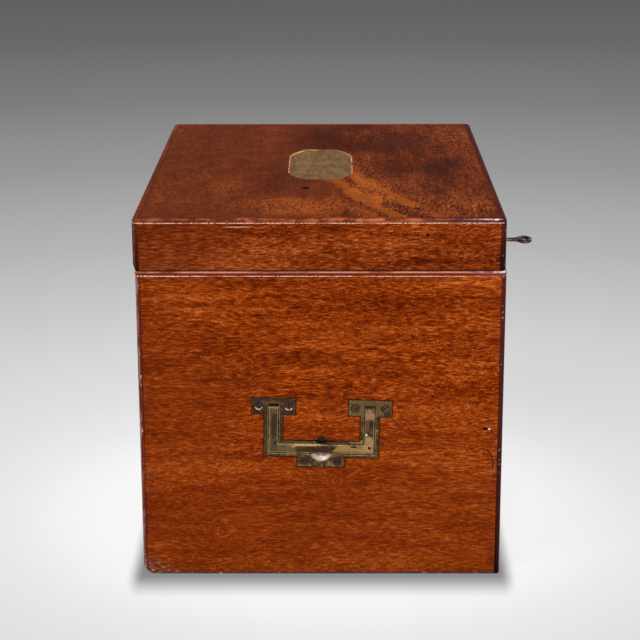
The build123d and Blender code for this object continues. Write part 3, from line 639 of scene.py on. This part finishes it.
near_rail = Polish("lid_near_rail", "y", 103, lid_tones)
lid_edge_light_and_wear(near_rail, 110)
near_rail.fleck(near_rail.y, 0.035, 0.10, 0.48, (84, 27, 8))
nail_hole = near_rail.spot("yz", (-0.0743, 0.2534), (0.0013, 0.0010))
near_rail.stain(nail_hole, dent_dark)
near_rail.sink(nail_hole, 4.0)
scratch = near_rail.spot("yz", (0.0574, 0.2593), (0.010, 0.0003))
near_rail.stain(scratch * 0.7, pale_wear_and_highlight)
far_rail = Polish("lid_far_rail", "y", 111, lid_tones)
lid_edge_light_and_wear(far_rail, 120)
long_rail = Polish("lid_long_rails", "x", 119, lid_tones)
lid_edge_light_and_wear(long_rail, 130)

top = Polish("mahogany_top", "x", 127, top_tones, (50, 18, 9), swing=4.2, curl=0.005, fine=(620, 170))
clouds = top.noise((15, 22, 15), 137, 4, 0.6)
curl = top.noise((34, 90, 40), 131, 4, 0.65, distortion=1.2)
plain_part = top.between(top.y + (clouds - 0.5) * 0.06, -0.030, 0.012)
top.stain(plain_part * 0.62, (104, 44, 19))
top.stain(top.between(curl, 0.52, 0.64) * (0.4 - plain_part * 0.25), top_tan)
top.stain(top.between(curl, 0.46, 0.36) * (0.5 - plain_part * 0.3), top_dark)
arch_x = (top.x + 0.150) * 0.62
arch_y = top.y - 0.018
wander = top.noise((26, 40, 26), 149, 3, 0.6) - 0.5
arches = (arch_x * arch_x + arch_y * arch_y) ** 0.5 + (clouds - 0.5) * 0.09 + wander * 0.05
arches = (arches * 330).math("SINE", arches * 330) * 0.5 + 0.5
arch_share = top.between(top.y, 0.000, 0.035) * top.between(wander, -0.10, 0.06)
top.stain(top.between(arches, 0.45, 1.0) * arch_share * 0.34, (78, 33, 15))
top.stain(top.between(arches, 0.40, 0.0) * arch_share * 0.16, (140, 66, 32))


def soft_patches(*patches):
    """The strongest of some soft ovals on the top, each with its middle, size and share."""
    return reduce(Wire.larger, [top.spot("xy", middle, size, soft=0.95) * share
                                for middle, size, share in patches])


shades = soft_patches(((0.10, -0.030), (0.085, 0.052), 1.0), ((0.00, -0.080), (0.06, 0.034), 1.0),
                      ((-0.05, 0.015), (0.055, 0.05), 0.5))
top.stain(shades * top.between(clouds, 0.66, 0.40) * 0.75, top_dark)
streak_side = (top.y + 0.022) + (top.x - 0.002) * -0.168
streak = top.between(abs(streak_side + (clouds - 0.5) * 0.03), 0.013, 0.002)
streak = streak * top.between(top.x, 0.02, -0.05)
glow = streak.larger(soft_patches(
    ((-0.095, -0.040), (0.040, 0.018), 0.8), ((-0.145, -0.090), (0.030, 0.040), 0.8),
    ((-0.145, 0.015), (0.026, 0.055), 0.7), ((-0.091, 0.09), (0.060, 0.030), 0.35)))
flame_along = top.x * 0.93 + top.y * 0.36
flame_across = top.y * 0.93 - top.x * 0.36
flame = flame_across + top.noise(60, 139, 4, 0.65) * 0.035 + wander * 0.03
flame = (flame * 260).math("SINE", flame * 260) * 0.5 + 0.5
flame_band = top.between(abs(flame_across - 0.006 + (clouds - 0.5) * 0.05), 0.034, 0.010)
flame_band = flame_band * top.between(flame_along, 0.06, -0.02) * top.between(top.y, 0.006, -0.012)
top.stain(flame_band * top.between(flame, 0.25, 0.85) * 0.45, top_orange)
top.stain(glow * top.between(clouds * 0.5 + top.level * 0.35, 0.34, 0.58) * 0.75, top_orange)
wide_dark = top.between(top.level, 0.30, 0.05)
top.stain(wide_dark * (1 - plain_part) * 0.5, (38, 14, 10))
spot = top.spot("xy", (-0.0844, 0.0115), (0.0040, 0.0030))
top.stain(spot, dent_dark)
top.sink(spot, 3.0)

lid_arris_wear_and_highlight = rubbed_and_lit_arris("rubbed_lit_lid_arris", 7, 0.62)
long_rail_polish = long_rail.done()
top_polish = top.done()
board("lid_left_rail", near_rail.done(), lid_arris_wear_and_highlight)
board("lid_right_rail", far_rail.done(), lid_arris_wear_and_highlight)
board("lid_front_rail", long_rail_polish, lid_arris_wear_and_highlight)
board("lid_back_rail", long_rail_polish, lid_arris_wear_and_highlight)
eased("lid_top_board", top_polish, top_polish, 0.00012, chosen=level_outside)


# The name plate: blank sheet brass, cut with a hand saw, let flush into the top and rubbed dull.

plate = Finish("name_plate_brass")
rubbing = plate.noise((90, 900, 60), 141, 3, 0.7)
smears = plate.noise((60, 90, 60), 143, 4, 0.65)
pits = plate.noise((260, 420, 260), 145, 3, 0.7)
plate.colour = plate.mix(plate.between(smears, 0.35, 0.65), (108, 78, 48), (140, 104, 66))
plate.fleck(rubbing, 0.46, 0.66, 0.40, (168, 130, 84))
plate.fleck(pits, 0.58, 0.68, 0.5, (78, 56, 38))

# Bright metal along the far and side edges, where the plate stands a hair above the wood
plate_low, plate_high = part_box("name_plate")
plate_middle = (plate_low + plate_high) / 2
plate_half = (plate_high - plate_low) / 2
off_x, off_y = abs(plate.x - plate_middle.x), abs(plate.y - plate_middle.y)
far_half = plate.between(plate.x, plate_middle.x, plate_middle.x + 0.01)
from_corner = (off_x - 0.0445) * 0.42 + (off_y - 0.0185) * 0.91 - 0.0005
nicks = plate.noise(300, 147, 3, 0.7) - 0.5
side_line = plate.between(off_y - plate_half.y + nicks * 0.0016, -0.0012, -0.0006)
corner_line = plate.between(from_corner + nicks * 0.0016, -0.0016, -0.0008) * far_half
left_share = plate.between(plate.y, plate_middle.y - 0.002, plate_middle.y + 0.004) * 0.7 + 0.3
side_line = side_line.larger(corner_line * left_share) * plate.between(abs(nicks), 0.14, 0.09)
end_line = plate.between(off_x - plate_half.x + nicks * 0.004, -0.0034, -0.0018) * far_half
end_line = end_line * plate.between(plate.y, plate_middle.y, plate_middle.y + 0.006)
plate_gold = plate.mix(plate.between(nicks, -0.06, 0.06), (206, 124, 52), (246, 196, 128))
plate.stain(side_line.larger(end_line) * 0.9, plate_gold)
plate_brass = plate.surface(plate.colour, 0.46 + smears * 0.2, rubbing, 0.00002, Metallic=0.25,
                            Specular_IOR_Level=0.1)
eased("name_plate", plate_brass, plate_brass, 0.0002)


# Inside: the base board and three dividers halved together, in waxed mahogany that never saw
# polish or sun, so it is plainer and paler than the outside.

inside_tones = [(0.0, (96, 46, 22)), (0.5, (140, 76, 42)), (1.0, (178, 108, 66))]
inside_pores = (84, 40, 20)
waxed_x = Polish("waxed_mahogany_long", "x", 151, inside_tones, inside_pores, swing=2.4).done()
waxed_y = Polish("waxed_mahogany_cross", "y", 157, inside_tones, inside_pores, swing=2.4).done()
for node, waxed, width in (("base_board", waxed_x, 0.0004), ("long_divider_1", waxed_x, 0.0003),
                           ("cross_divider_1", waxed_y, 0.0003), ("cross_divider_2", waxed_y, 0.0003)):
    eased(node, waxed, waxed, width)


# The lining: green wool baize glued in. One sheet lies on the floor, one under the lid's top, and
# a strip goes round the walls of each of the six cells, its top edge cut a little unevenly.

felt = Finish("green_baize")
fibres = felt.noise(2600, 163, 3, 0.7)
nap = felt.noise(130, 167, 4, 0.6)
pressed = felt.noise(24, 169, 2)
felt_colour = felt.ramp(fibres * 0.5 + nap * 0.5, [(0.30, (22, 44, 26)), (0.5, (38, 72, 44)),
                                                  (0.72, (66, 104, 66))])
felt_colour = felt.mix(felt.between(pressed, 0.55, 0.72) * 0.3, felt_colour, (84, 112, 76))
baize = felt.surface(felt_colour, 0.95, fibres + nap * 0.6, 0.00035, Sheen_Weight=0.35,
                     Sheen_Roughness=0.5, Specular_IOR_Level=0.1)


def felt_piece(name, mesh, thickness, node, body):
    piece = bpy.data.objects.new(name, bpy.data.meshes.new(name))
    mesh.to_mesh(piece.data)
    mesh.free()
    piece.data.materials.append(baize)
    scene.collection.objects.link(piece)
    thick = piece.modifiers.new("thickness", "SOLIDIFY")
    thick.thickness = thickness
    thick.offset = 0.0
    plain_mesh(piece)
    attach(piece, body)
    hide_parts(node)


def flat_felt(name, node, body, thickness, inset, rows=48):
    """A sheet of baize laid on a board, with the faint waves that the glue leaves."""
    low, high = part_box(node)
    size = high - low
    mesh = bmesh.new()
    bmesh.ops.create_grid(mesh, x_segments=rows, y_segments=rows, size=0.5)
    middle = (low + high) / 2
    for vertex in mesh.verts:
        wave = noise.noise(Vector((vertex.co.x * 14, vertex.co.y * 10, 3.0)))
        x = middle.x + vertex.co.x * (size.x - 2 * inset)
        y = middle.y + vertex.co.y * (size.y - 2 * inset)
        vertex.co = Vector((x, y, middle.z + wave * 0.00012))
    felt_piece(name, mesh, thickness, node, body)


flat_felt("floor_baize", "floor_lining", "box", 0.0017, 0.0004)
flat_felt("lid_baize", "lid_lining", "lid", 0.0017, 0.0004)

wall_thickness = 0.0010
wall_inset = 0.0006
strip_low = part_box("cell_lining")[0].z
strip_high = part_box("cell_lining")[1].z


def cell_strips():
    """Low and high corners of the six cells, from the islands of the CAD lining."""
    mesh = bmesh.new()
    mesh.from_mesh(frame["nodes"]["cell_lining"].data)
    xs = sorted({round(vertex.co.x, 4) for vertex in mesh.verts})
    ys = sorted({round(vertex.co.y, 4) for vertex in mesh.verts})
    mesh.free()
    x_pairs = [(xs[4 * i], xs[4 * i + 3]) for i in range(len(xs) // 4)]
    y_pairs = [(ys[4 * i], ys[4 * i + 3]) for i in range(len(ys) // 4)]
    return [(x, y) for x in x_pairs for y in y_pairs]


def cell_felt(number, x_span, y_span):
    """One strip of baize round the four walls of a cell."""
    x0, x1 = x_span[0] + wall_inset, x_span[1] - wall_inset
    y0, y1 = y_span[0] + wall_inset, y_span[1] - wall_inset
    corners = [(x0, y0), (x1, y0), (x1, y1), (x0, y1)]
    path = []
    for (ax, ay), (bx, by) in zip(corners, corners[1:] + corners[:1]):
        for step in range(24):
            share = step / 24
            path.append((ax + (bx - ax) * share, ay + (by - ay) * share))
    mesh = bmesh.new()
    heights = 16
    rings = []
    for level in range(heights + 1):
        share = level / heights
        ring = []
        for x, y in path:
            uneven = noise.noise(Vector((x * 60, y * 60, 7.0 + number))) * 0.0005
            z = strip_low + 0.0003 + (strip_high - strip_low - 0.0009) * share + uneven * share
            wave = noise.noise(Vector((x * 40, y * 40, z * 40))) * 0.00006
            inward = Vector((x_span[0] + x_span[1] - 2 * x, y_span[0] + y_span[1] - 2 * y, 0)).normalized()
            ring.append(mesh.verts.new(Vector((x, y, z)) + inward * wave))
        rings.append(ring)
    for lower, upper in zip(rings, rings[1:]):
        for i in range(len(path)):
            j = (i + 1) % len(path)
            mesh.faces.new((lower[j], lower[i], upper[i], upper[j]))
    around = 2 * (x1 - x0 + y1 - y0)
    walls = ["front_board_worn" if y0 < -0.1 else "back_board_worn", "long_divider_1_worn"]
    felt_piece(f"cell_baize_{number}", mesh, wall_thickness, "cell_lining", "box")


for number, (x_span, y_span) in enumerate(cell_strips(), start=1):
    cell_felt(number, x_span, y_span)


# Brass of the handles, hinges and keyhole: castings gone olive and brown, rubbed lighter on
# every arris, with a dark edge where a handle's plate meets the wood.

olive = (98, 84, 48)
brown = (64, 50, 30)
tan = (160, 140, 96)
slate = (92, 92, 88)
green_black = (34, 34, 22)
arris_gold = (164, 138, 92)


class Patina(Finish):
    """Old cast brass: olive with brown and tan clouds, to which a piece's own marks are added."""

    def __init__(self, name, seed, base=olive):
        super().__init__(name)
        clouds = self.noise(150, seed, 4, 0.65, distortion=0.4)
        specks = self.noise(900, seed + 1, 2, 0.7)
        rub = self.noise(430, seed + 2, 3, 0.65)
        self.colour = self.mix(self.between(clouds, 0.44, 0.58) * 0.8, base, brown)
        self.fleck(clouds, 0.42, 0.32, 0.4, slate)
        self.fleck(rub, 0.54, 0.64, 0.55, tan)
        self.fleck(rub, 0.48, 0.36, 0.75, green_black)
        self.fleck(specks, 0.56, 0.66, 0.5, green_black)
        self.rough = 0.42 + clouds * 0.16 + specks * 0.14
        self.height = rub * 0.6 + specks * 0.4

    def blot(self, middle, size, colour, share=0.8, ragged=0.8, corners=1):
        """A ragged patch on a handle. It is an oval, or a box if `corners` is 3."""
        across = (self.across - middle[0]) / size[0]
        up = (self.up - middle[1]) / size[1]
        edge = self.noise(330, 203, 4, 0.7)
        reach = (across * across) ** corners + (up * up) ** corners + (edge - 0.5) * (9 * ragged)
        self.fleck(reach, 1.5, 0.6, share, colour)

    def done(self):
        warmed = self.mix(0.9, self.colour, (238, 208, 188), blend="MULTIPLY")
        return self.surface(warmed, self.rough, self.height, 0.00008, Metallic=0.3,
                            Specular_IOR_Level=0.15)


def rubbed_brass(name, seed, pale=arris_gold, dark=olive):
    """The worn arrises of a casting: bright in uneven lengths."""
    arris = Finish(name)
    lengths = arris.noise(150, seed, 3, 0.65)
    colour = arris.mix(arris.between(lengths, 0.42, 0.60), dark, pale)
    return arris.surface(colour, 0.38, lengths, 0.00005, Metallic=0.35)


# The handles: a cast plate let into each end, with a folding bail that lies in its channel on two
# steel-hard pins, a scoop to lift it by, and six slotted screws. The near one has aged unevenly.

near_plate = Patina("near_handle_plate", 201)
near_plate.measure_from(near_offset, handle_height, near_tilt)
near_plate.blot((-34, 0), (15.4, 6.2), (56, 42, 32), 0.78, 0.25, 3)
near_plate.blot((-35, 2.5), (9, 1.6), (118, 88, 60), 0.55)
near_plate.blot((-34.3, -20), (7.2, 16), (52, 43, 29), 0.65, 0.3, 3)
near_plate.blot((-47, -3), (3, 4), green_black, 0.6)
near_plate.blot((-22, -4), (3, 2), green_black, 0.5)
near_plate.blot((34, 0), (15.6, 6.2), (126, 110, 72), 0.45, 0.25, 3)
near_plate.blot((33, 3), (8, 2), (92, 80, 64), 0.5)
near_plate.blot((47, -4.5), (2.8, 3.2), green_black, 0.8)
near_plate.blot((0, -25.8), (30, 1.3), (66, 64, 40), 0.6, 0.5, 3)
near_plate.blot((26, -25.6), (5, 1.6), (166, 146, 92), 0.7)
near_plate.blot((0, -23.4), (4.4, 3.4), (24, 24, 18), 0.95, 0.1)
across, up = near_plate.across, near_plate.up
# The scoop's painted reflection of the bright floor: a white crescent below the bail, tan at its rim, lilac
# in the middle, and smoother there
scoop_reach = across * across + (up + 33) * (up + 33)
scoop_reflection = near_plate.between(scoop_reach, 7.9 ** 2, 7.6 ** 2) * near_plate.between(up, -33.6, -34.9)
scoop_reflection = scoop_reflection * near_plate.between(near_plate.x, -0.18664, -0.18655)
near_plate.stain(scoop_reflection, (250, 250, 250))
near_plate.stain(scoop_reflection * near_plate.between(scoop_reach, 6.2 ** 2, 7.4 ** 2) * 0.6, (186, 160, 134))
lilac_reflection = near_plate.between(across * across / 16 + (up + 36.6) ** 2 / 1.6, 1.3, 0.5)
near_plate.stain(scoop_reflection * lilac_reflection * 0.85, (142, 150, 190))
near_plate.rough = near_plate.rough - scoop_reflection * 0.2
near_plate.height = near_plate.height * (1 - scoop_reflection)
far_plate = Patina("far_handle_plate", 211)

near_bail = Patina("near_handle_bail", 221)
near_bail.measure_from(near_offset, handle_height, near_tilt)
near_bail.blot((-33, -16), (4, 18), (104, 96, 76), 0.5, 0.5, 3)
near_bail.blot((-32.4, -5), (2.6, 3.2), (112, 84, 54), 0.7)
near_bail.blot((-32.8, -14.5), (3.0, 9.5), (42, 36, 28), 0.8, 1.0, 3)
near_bail.blot((-32.4, -20), (1.6, 5.0), (66, 58, 44), 0.7)
near_bail.blot((-31.8, -26.6), (3.4, 2.6), (48, 42, 38), 0.8)
near_bail.blot((-23, -31.5), (9, 3.6), (116, 106, 76), 0.6, 0.5, 3)
near_bail.blot((-15.6, -29.6), (5.0, 2.0), (182, 160, 112), 0.85)
near_bail.blot((-9.5, -28.4), (10.5, 0.9), (204, 188, 140), 0.9, 0.5)
near_bail.blot((-3.5, -31.7), (15, 2.2), (56, 42, 26), 0.9, 0.8, 3)
near_bail.blot((24, -30.8), (13.5, 3.0), (166, 144, 98), 0.9, 0.9, 3)
near_bail.blot((21, -33.6), (10, 1.0), (120, 104, 66), 0.6, 1.2)
near_bail.blot((27, -29.6), (3.0, 1.2), (96, 78, 44), 0.6, 1.2)
near_bail.blot((4, -34.9), (34, 0.8), (84, 78, 50), 0.7, 0.4, 3)
near_bail.blot((32.8, -25.6), (4.6, 5.2), (174, 150, 112), 0.9, 0.5)
near_bail.blot((33.8, -5.5), (3.6, 3.8), (172, 144, 114), 0.85, 0.5)
near_bail.blot((34.1, -14.6), (2.6, 6.2), (58, 44, 36), 0.9, 1.2, 3)
near_bail.blot((33.0, -13.0), (0.8, 5.0), (118, 98, 78), 0.7, 1.0, 3)
near_bail.blot((34.5, -29.9), (1.0, 1.0), (32, 28, 42), 1.0, 0.05, 3)
near_bail.blot((23.4, -29.2), (2.4, 0.7), (26, 22, 14), 1.0, 0.2)
# A painted glint on the right leg
near_bail.blot((32.0, -19.9), (0.8, 0.8), (250, 250, 250), 1.0, 0.0)
near_bail.blot((0, -24.8), (4.4, 2.8), (24, 24, 18), 0.95, 0.1)
far_bail = Patina("far_handle_bail", 231)


def beside_channel(node, inward):
    """Picks the rounded faces that look across the plate's channel, and not out at the wood."""
    mesh = bmesh.new()
    mesh.from_mesh(frame["nodes"][node].data)
    tree = BVHTree.FromBMesh(mesh)
    mesh.free()

    def pick(faces):
        kept = set()
        for face in faces:
            sideways = Vector((0, face.normal.y, face.normal.z)).normalized()
            start = face.calc_center_median() + Vector((inward * 0.0012, 0, 0)) + sideways * 0.0004
            rise = start.z - handle_height
            off_leg = abs(abs(start.y) - 0.0343) > 0.0055
            by_screw = (rise > -0.0066 and off_leg) or rise < -0.0376
            if tree.ray_cast(start, sideways, 0.012)[0] and not on_bump(face) and not by_screw:
                kept.add(face)
        return kept

    return pick


def on_bump(face):
    """On the round bump of the bar, where dirt has gathered."""
    middle = face.calc_center_median()
    return abs(middle.y - near_offset) < 0.005 and abs(middle.z - handle_height + 0.0245) < 0.0035


def off_bump(faces):
    return {face for face in faces if not on_bump(face)}


handle_arris = rubbed_brass("handle_arris", 241)
# A dark finish for the rounded faces that the bright pick leaves out: the plates' outer edges and the bails'
# bump
dark_edge_finish = Finish("handle_dark_edge")
dark_edge_clouds = dark_edge_finish.noise(300, 245, 3)
dark_edge = dark_edge_finish.surface(dark_edge_finish.mix(dark_edge_clouds, (22, 18, 10), (70, 58, 34)), 0.7,
                           Specular_IOR_Level=0.1)
for node, metal, width, bright in (
        ("left_handle_plate", near_plate, 0.00030, beside_channel("left_handle_plate", 1)),
        ("right_handle_plate", far_plate, 0.00030, beside_channel("right_handle_plate", -1)),
        ("left_handle_bail", near_bail, 0.00024, off_bump),
        ("right_handle_bail", far_bail, 0.00024, off_bump)):
    eased(node, metal.done(), handle_arris, width, bright=bright, dark_rounds=dark_edge)


def carried_over(node, finish):
    """Gives a CAD node its finish and keeps its mesh."""
    mesh = frame["nodes"][node].data
    mesh.materials.clear()
    mesh.materials.append(finish)


plain_brass = Patina("turned_brass", 251).done()
for side in ("left", "right"):
    carried_over(side + "_handle_pins", plain_brass)


# The screws: hand-filed slotted heads, countersunk flush, in six sizes of work. One node tree
# turns the screw and puts it on every place, with its slot at its own angle.

def screw_tree():
    """A node tree that sets a slotted countersunk screw on each vertex of a mesh."""
    tree = bpy.data.node_groups.new("slotted_screws", "GeometryNodeTree")
    work = Shading(tree)
    kinds = {"Places": "Geometry", "Head Radius": "Float", "Shank Radius": "Float", "Length": "Float",
             "Slot Width": "Float", "Slot Depth": "Float", "Facing": "Vector", "Finish": "Material"}
    for name, kind in kinds.items():
        tree.interface.new_socket(name, in_out="INPUT", socket_type="NodeSocket" + kind)
    tree.interface.new_socket("Screws", in_out="OUTPUT", socket_type="NodeSocketGeometry")
    inputs = work.node("NodeGroupInput").socket.node.outputs
    given = {socket.name: Wire(work, socket) for socket in inputs if socket.name}
    head, shank, length = given["Head Radius"], given["Shank Radius"], given["Length"]
    ease = head * 0.05
    taper = head - shank

    def disc(radius):
        return work.node("GeometryNodeMeshCircle", {"fill_type": "NGON"}, {"Vertices": 32, "Radius": radius})

    def lowered(geometry, depth):
        """A stretch of the screw, moved to `depth` below the head's face."""
        down = work.node("ShaderNodeCombineXYZ", values={"Z": depth * -1.0})
        return work.node("GeometryNodeTransform", values={"Geometry": geometry, "Translation": down})

    def ring(top, bottom, high, low):
        """One turned stretch of the screw, from `high` down to `low` below the head's face."""
        values = {"Vertices": 32, "Radius Top": top, "Radius Bottom": bottom, "Depth": low - high}
        return lowered(work.node("GeometryNodeMeshCone", {"fill_type": "NONE"}, values), low)

    face = disc(head - ease)
    rim = ring(head - ease, head, 0.0, ease)
    cone = ring(head, shank, ease, taper + ease)
    body = ring(shank, shank * 0.8, taper + ease, length * 0.8)
    tip = ring(shank * 0.8, shank * 0.02, length * 0.8, length)
    end = work.node("GeometryNodeFlipFaces", values={"Mesh": lowered(disc(shank * 0.02), length)})
    parts = work.node("GeometryNodeJoinGeometry")
    for part in (end, tip, body, cone, rim, face):
        tree.links.new(part.socket, parts.socket.node.inputs[0])
    turned = work.node("GeometryNodeMergeByDistance", values={"Geometry": parts, "Distance": 0.000001})
    cutter_size = work.node("ShaderNodeCombineXYZ", values={
        "X": head * 2.4, "Y": given["Slot Width"], "Z": given["Slot Depth"] * 2.0})
    cutter = work.node("GeometryNodeMeshCube", values={"Size": cutter_size})
    screw = work.node("GeometryNodeMeshBoolean", {"operation": "DIFFERENCE"},
                      {"Mesh 1": turned, "Mesh 2": cutter})
    position = work.node("GeometryNodeInputPosition")
    marked = work.node("GeometryNodeStoreNamedAttribute", {"data_type": "FLOAT_VECTOR", "domain": "POINT"},
                       {"Geometry": given["Places"], "Name": "middle", "Value": position})
    set_on = work.node("GeometryNodeInstanceOnPoints", values={
        "Points": marked, "Instance": screw, "Rotation": given["Facing"]})
    turn = work.node("GeometryNodeInputNamedAttribute", {"data_type": "FLOAT"}, {"Name": "turn"})
    spin = work.node("ShaderNodeCombineXYZ", values={"Z": turn})
    spun = work.node("GeometryNodeRotateInstances", values={
        "Instances": set_on, "Rotation": spin, "Local Space": True})
    real = work.node("GeometryNodeRealizeInstances", values={"Geometry": spun})
    done = work.node("GeometryNodeSetMaterial", values={"Geometry": real, "Material": given["Finish"]})
    work.node("NodeGroupOutput", values={"Screws": done})
    return tree


slotted_screws = screw_tree()


def screw_finish(name, seed):
    """A screw head's patina, dark round the rim, that knows each screw's own middle."""
    metal = Patina(name, seed, base=(100, 84, 64))
    metal.seat = metal.node("ShaderNodeAttribute", {"attribute_name": "middle"}, output="Vector")
    away = metal.node("ShaderNodeVectorMath", {"operation": "SUBTRACT"}, {0: metal.place, 1: metal.seat})
    off = metal.node("ShaderNodeSeparateXYZ", values={"Vector": away}).socket.node
    metal.above = Wire(metal, off.outputs[2])
    span = metal.node("ShaderNodeVectorMath", {"operation": "LENGTH"}, {0: away}, output="Value")
    metal.rim = metal.between(span, 0.0019, 0.0026)
    metal.stain(metal.rim * 0.45, green_black)
    return metal


def screw_places(*nodes):
    """The lowest and highest corners of every screw in some CAD nodes."""
    places = []
    for node in nodes:
        mesh = bmesh.new()
        mesh.from_mesh(frame["nodes"][node].data)
        bmesh.ops.remove_doubles(mesh, verts=mesh.verts, dist=2e-6)
        left = set(mesh.verts)
        while left:
            group, reached = set(), [left.pop()]
            while reached:
                vertex = reached.pop()
                group.add(vertex)
                for edge in vertex.link_edges:
                    other = edge.other_vert(vertex)
                    if other in left:
                        left.remove(other)
                        reached.append(other)
            low = Vector([min(v.co[i] for v in group) for i in range(3)])
            high = Vector([max(v.co[i] for v in group) for i in range(3)])
            places.append((low, high))
        mesh.free()
    return sorted(places, key=lambda place: tuple(place[0]))


def set_screws(name, nodes, body, outward, head, shank, finish, turns):
    """Screws that face along `outward`, with flush heads at the places of the CAD nodes' screws."""
    axis = max(range(3), key=lambda i: abs(outward[i]))
    heads = []
    for low, high in screw_places(*nodes):
        place = (low + high) / 2
        place[axis] = high[axis] if outward[axis] > 0 else low[axis]
        heads.append(place)
        length = high[axis] - low[axis]
    mesh = bpy.data.meshes.new(name)
    mesh.from_pydata(heads, [], [])
    turn = mesh.attributes.new("turn", "FLOAT", "POINT")
    for index, angle in enumerate(turns):
        turn.data[index].value = radians(angle)
    piece = bpy.data.objects.new(name, mesh)
    scene.collection.objects.link(piece)
    modifier = piece.modifiers.new("slotted_screws", "NODES")
    modifier.node_group = slotted_screws
    inputs = {"Head Radius": head, "Shank Radius": shank, "Length": length, "Slot Width": head * 0.28,
              "Slot Depth": head * 0.34, "Facing": Vector(outward).to_track_quat("Z", "Y").to_euler(),
              "Finish": finish}
    for item in slotted_screws.interface.items_tree:
        if item.in_out == "INPUT" and item.name in inputs:
            modifier[item.identifier] = inputs[item.name]
    plain_mesh(piece)
    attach(piece, body)
    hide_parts(*nodes)


near_screws = screw_finish("near_handle_screws", 261)
seat = near_screws.node("ShaderNodeSeparateXYZ", values={"Vector": near_screws.seat}).socket.node
on_left_ear = near_screws.between(Wire(near_screws, seat.outputs[1]), 0.012, 0.018)
on_tab = near_screws.between(Wire(near_screws, seat.outputs[2]), 0.100, 0.095)
lower_rim_highlight = near_screws.between(near_screws.above, -0.0007, -0.0015) * near_screws.rim
near_screws.stain(on_left_ear * 0.8, (66, 54, 62))
near_screws.stain(on_tab * 0.75, (58, 40, 42))
# Painted shade on the upper half of the left ear's screw heads, and a painted highlight on their lower rims
near_screws.stain(on_left_ear * near_screws.between(near_screws.above, 0.0004, 0.0016) * 0.6, (52, 42, 44))
near_screws.stain(on_left_ear * lower_rim_highlight, (236, 224, 200))
brass_screws = screw_finish("brass_screws", 271).done()
set_screws("near_handle_screws", ["left_handle_screws"], "box", (-1, 0, 0), 0.0031, 0.0015,
           near_screws.done(), [40, 78, 20, 0, 95, 130])
set_screws("far_handle_screws", ["right_handle_screws"], "box", (1, 0, 0), 0.0031, 0.0015,
           brass_screws, [15, 70, 120, 35, 160, 90])


# The hinges: brass butts let into the rim and the lid, with heels that stop the lid just past
# upright, each on a steel pin with three screws a leaf.

hinge_brass = Patina("hinge_brass", 281).done()
hinge_arris = rubbed_brass("hinge_arris", 285)
for side in ("left", "right"):
    for leaf in ("body_leaf", "lid_leaf"):
        eased(f"{side}_hinge_{leaf}", hinge_brass, hinge_arris, 0.00015, sharp_angle=40)
    carried_over(side + "_hinge_pin", plain_brass)
set_screws("hinge_body_screws", ["left_hinge_body_screws", "right_hinge_body_screws"], "box",
           (0, 0, 1), 0.0027, 0.0014, brass_screws, [12, 55, 100, 140, 30, 80])
set_screws("hinge_lid_screws", ["left_hinge_lid_screws", "right_hinge_lid_screws"], "lid",
           (0, 0, -1), 0.0027, 0.0014, brass_screws, [65, 20, 150, 95, 45, 5])


# The lock: a brass box lock let into the front board, its selvedge flush in the rim, with a steel
# bolt and spring, and the link plate that it catches under the lid's front rail.

lacquered = Patina("lock_brass", 291, base=(150, 122, 66)).done()
lock_arris = rubbed_brass("lock_arris", 295, pale=(214, 188, 120), dark=(140, 112, 60))
for node in ("lock_plate", "link_plate", "lock_case"):
    eased(node, lacquered, lock_arris, 0.00015)
eased("keyhole_escutcheon", hinge_brass, hinge_arris, 0.00012)

steel = Finish("dark_steel")
rust = steel.noise(220, 301, 4, 0.65)
file_marks = steel.noise((900, 300, 900), 303)
steel.colour = steel.mix(steel.between(rust, 0.42, 0.60), (70, 58, 55), (140, 124, 118))
steel.fleck(rust, 0.62, 0.74, 0.5, (92, 56, 40))
dark_steel = steel.surface(steel.colour, 0.26 + rust * 0.2, file_marks + rust, 0.00005, Metallic=0.85)
bright_steel = Finish("rubbed_steel")
steel_nicks = bright_steel.noise(300, 307, 2)
steel_edge = bright_steel.surface(bright_steel.mix(steel_nicks, (96, 84, 80), (190, 178, 172)), 0.3,
                                  Metallic=0.8)
eased("key", dark_steel, steel_edge, 0.00012, sharp_angle=50)
for node in ("lock_bolt", "lock_spring", "lock_drill_pin"):
    carried_over(node, dark_steel)
set_screws("lock_screws", ["lock_screws"], "box", (0, 1, 0), 0.0023, 0.0012, brass_screws,
           [35, 120, 60, 10])
set_screws("link_screws", ["link_plate_screws"], "lid", (0, 0, -1), 0.0023, 0.0012, brass_screws,
           [50, 110])
